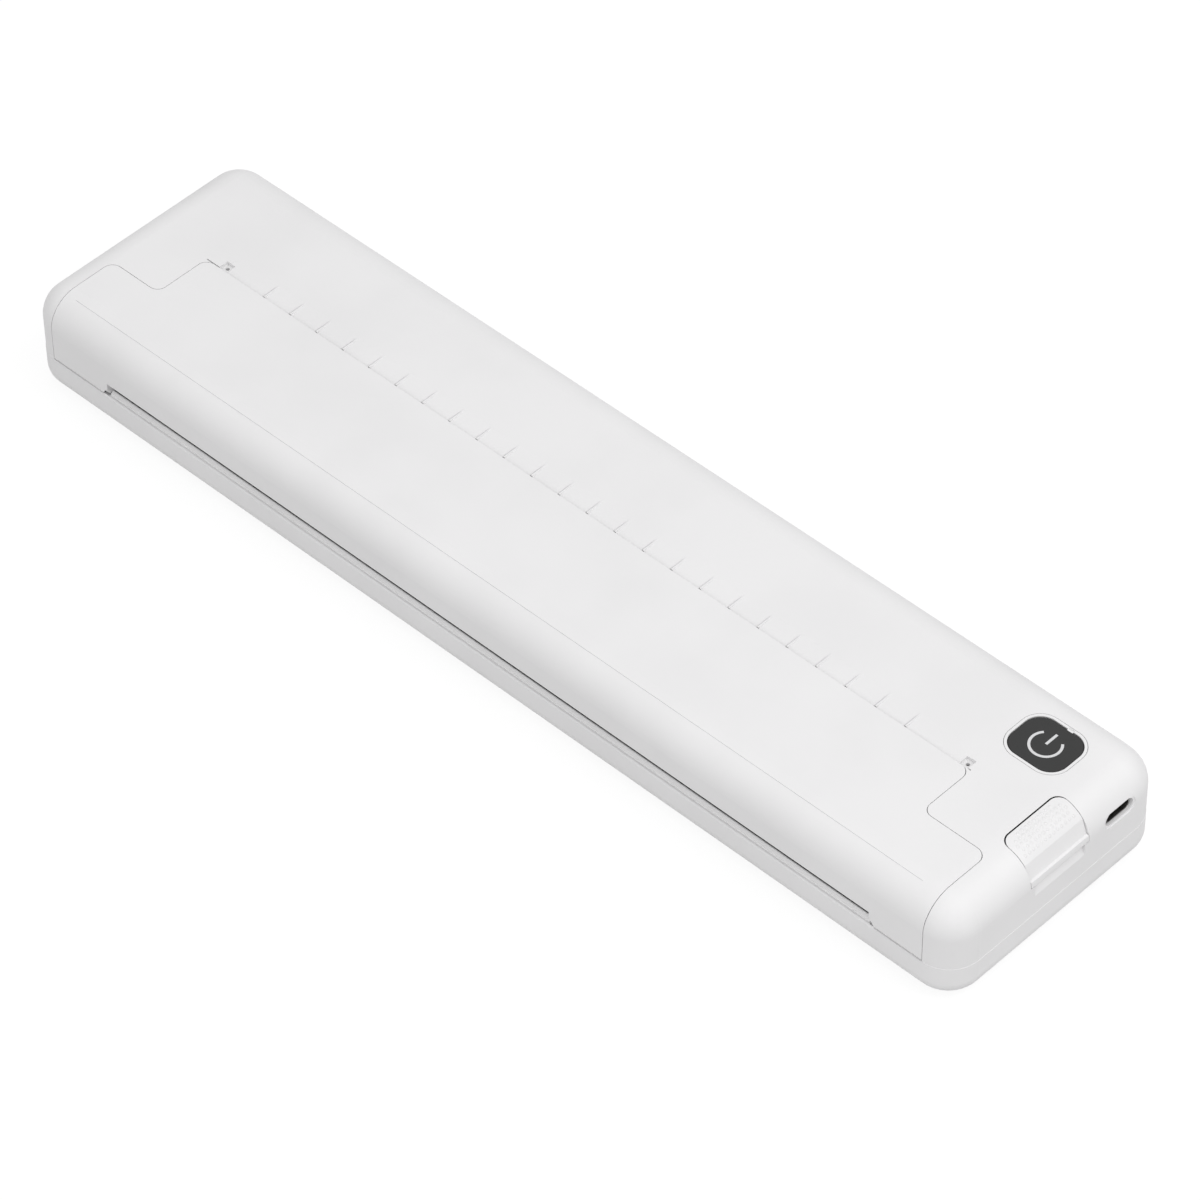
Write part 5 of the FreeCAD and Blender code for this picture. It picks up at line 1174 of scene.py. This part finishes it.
@dataclass
class Studio:
    """The pale floor, the white surroundings and the soft lamps."""

    sky: float = 0.74
    shown: float = 1.0
    floor_half: float = 3.0
    floor_seen: float = 0.16
    floor_lit: float = 0.50
    floor_veil: float = 0.87
    lamps: tuple[SoftLamp, ...] = (SoftLamp("key lamp", (0.9, 0.5, 1.5), 1.2, 9.5),
                                   SoftLamp("front lamp", (0.45, -0.80, 0.42), 1.1, 2.9))

    def build(self) -> None:
        """Make the floor, the world and the lamps."""
        self.floor()
        self.world()
        for lamp in self.lamps:
            lamp.build()

    def larger(self, tree: bpy.types.NodeTree, first: Socket, second: Socket) -> Socket:
        """The larger of two values.

        Args:
            tree: The node tree that uses it.
            first: The first value.
            second: The second value.

        Returns:
            The larger one.
        """
        step = tree.nodes.new("ShaderNodeMath")
        step.operation = "MAXIMUM"
        tree.links.new(first, step.inputs[0])
        tree.links.new(second, step.inputs[1])
        return step.outputs["Value"]

    def shown_white(self, tree: bpy.types.NodeTree) -> Socket:
        """One for a ray from the camera, a reflection or through glass, and zero for other light.

        Args:
            tree: The node tree that uses it.

        Returns:
            The factor.
        """
        path = tree.nodes.new("ShaderNodeLightPath").outputs
        seen = self.larger(tree, path["Is Camera Ray"], path["Is Glossy Ray"])
        return self.larger(tree, seen, path["Is Transmission Ray"])

    def floor(self) -> None:
        """Add the floor: a little of it takes the shadow and the rest is shown white."""
        form = bmesh.new()
        bmesh.ops.create_grid(form, x_segments=1, y_segments=1, size=self.floor_half)
        mesh = bpy.data.meshes.new("floor")
        form.to_mesh(mesh)
        form.free()
        mesh.materials.append(self.floor_finish())
        floor = bpy.data.objects.new("floor", mesh)
        bpy.context.scene.collection.objects.link(floor)

    def floor_finish(self) -> Material:
        """Make the floor's finish: a matt share for the shadow and a glow over it.

        Returns:
            The new material.
        """
        material = bpy.data.materials.new("pale floor")
        material.use_nodes = True
        tree = material.node_tree
        tree.nodes.clear()
        output = tree.nodes.new("ShaderNodeOutputMaterial")
        matt = tree.nodes.new("ShaderNodeBsdfDiffuse")
        white = self.shown_white(tree)
        depth = tree.nodes.new("ShaderNodeMapRange")
        depth.inputs["To Min"].default_value = self.floor_lit
        depth.inputs["To Max"].default_value = self.floor_seen
        tree.links.new(white, depth.inputs["Value"])
        tree.links.new(depth.outputs["Result"], matt.inputs["Color"])
        veil = tree.nodes.new("ShaderNodeEmission")
        level = tree.nodes.new("ShaderNodeMath")
        level.operation = "MULTIPLY"
        level.inputs[1].default_value = self.floor_veil
        tree.links.new(white, level.inputs[0])
        tree.links.new(level.outputs["Value"], veil.inputs["Strength"])
        both = tree.nodes.new("ShaderNodeAddShader")
        tree.links.new(matt.outputs["BSDF"], both.inputs[0])
        tree.links.new(veil.outputs["Emission"], both.inputs[1])
        tree.links.new(both.outputs["Shader"], output.inputs["Surface"])
        return material

    def world(self) -> None:
        """Surround the scene with a plain pale sky that is seen as white."""
        world = bpy.data.worlds.new("studio")
        bpy.context.scene.world = world
        world.use_nodes = True
        tree = world.node_tree
        tree.nodes.clear()
        output = tree.nodes.new("ShaderNodeOutputWorld")
        mixed = tree.nodes.new("ShaderNodeMixShader")
        tree.links.new(self.shown_white(tree), mixed.inputs[0])
        for place, strength in ((1, self.sky), (2, self.shown)):
            light = tree.nodes.new("ShaderNodeBackground")
            light.inputs["Color"].default_value = (*grey(1.0), 1.0)
            light.inputs["Strength"].default_value = strength
            tree.links.new(light.outputs["Background"], mixed.inputs[place])
        tree.links.new(mixed.outputs["Shader"], output.inputs["Surface"])


@dataclass
class PhotoCamera:
    """The camera that the photograph was taken with, found by fitting the printer's corners."""

    place: Triple = (0.7538, -0.7578, 1.0953)
    turn: float = math.radians(44.49)
    tilt: float = math.radians(45.74)
    roll: float = math.radians(-0.97)
    lens: float = 175.24
    sensor: float = 36.0

    def build(self) -> None:
        """Make the camera and use it."""
        level = math.cos(self.tilt)
        back = Vector((math.sin(self.turn) * level, -math.cos(self.turn) * level, math.sin(self.tilt)))
        right = Vector((math.cos(self.turn), math.sin(self.turn), 0))
        up = back.cross(right)
        side = right * math.cos(self.roll) + up * math.sin(self.roll)
        top = up * math.cos(self.roll) - right * math.sin(self.roll)
        data = bpy.data.cameras.new("photo camera")
        data.lens = self.lens
        data.sensor_width = self.sensor
        camera = bpy.data.objects.new("photo camera", data)
        pose = Matrix((side, top, back)).transposed().to_4x4()
        camera.matrix_world = Matrix.Translation(Vector(self.place)) @ pose
        bpy.context.scene.collection.objects.link(camera)
        bpy.context.scene.camera = camera


def corners(bounds: tuple[Vector, Vector]) -> list[list[float]]:
    """A box's two corners as plain lists."""
    return [[float(value) for value in corner] for corner in bounds]


def assemblies(finishes: Finishes) -> tuple[Assembly, ...]:
    """Everything that is built, in order.

    Args:
        finishes: The finishes that the assemblies share.

    Returns:
        The assemblies.
    """
    return (CasingSkins(finishes), CaseScrews(finishes, CrossHeadScrew()), PowerButton(finishes),
            ReleaseLatch(finishes), ChargingPort(finishes), PrintHead(finishes),
            PaperDrive(finishes), Studio(), PhotoCamera())


def main() -> None:
    """Build the printer's looks in order and log each one as it is done."""
    logging.basicConfig(level=logging.INFO, format="%(name)s: %(message)s")
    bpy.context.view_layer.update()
    for assembly in assemblies(Finishes()):
        assembly.build()
        LOG.info("%s done", type(assembly).__name__)
    bpy.context.scene.view_settings.view_transform = "Standard"


if __name__ == "__main__":
    main()
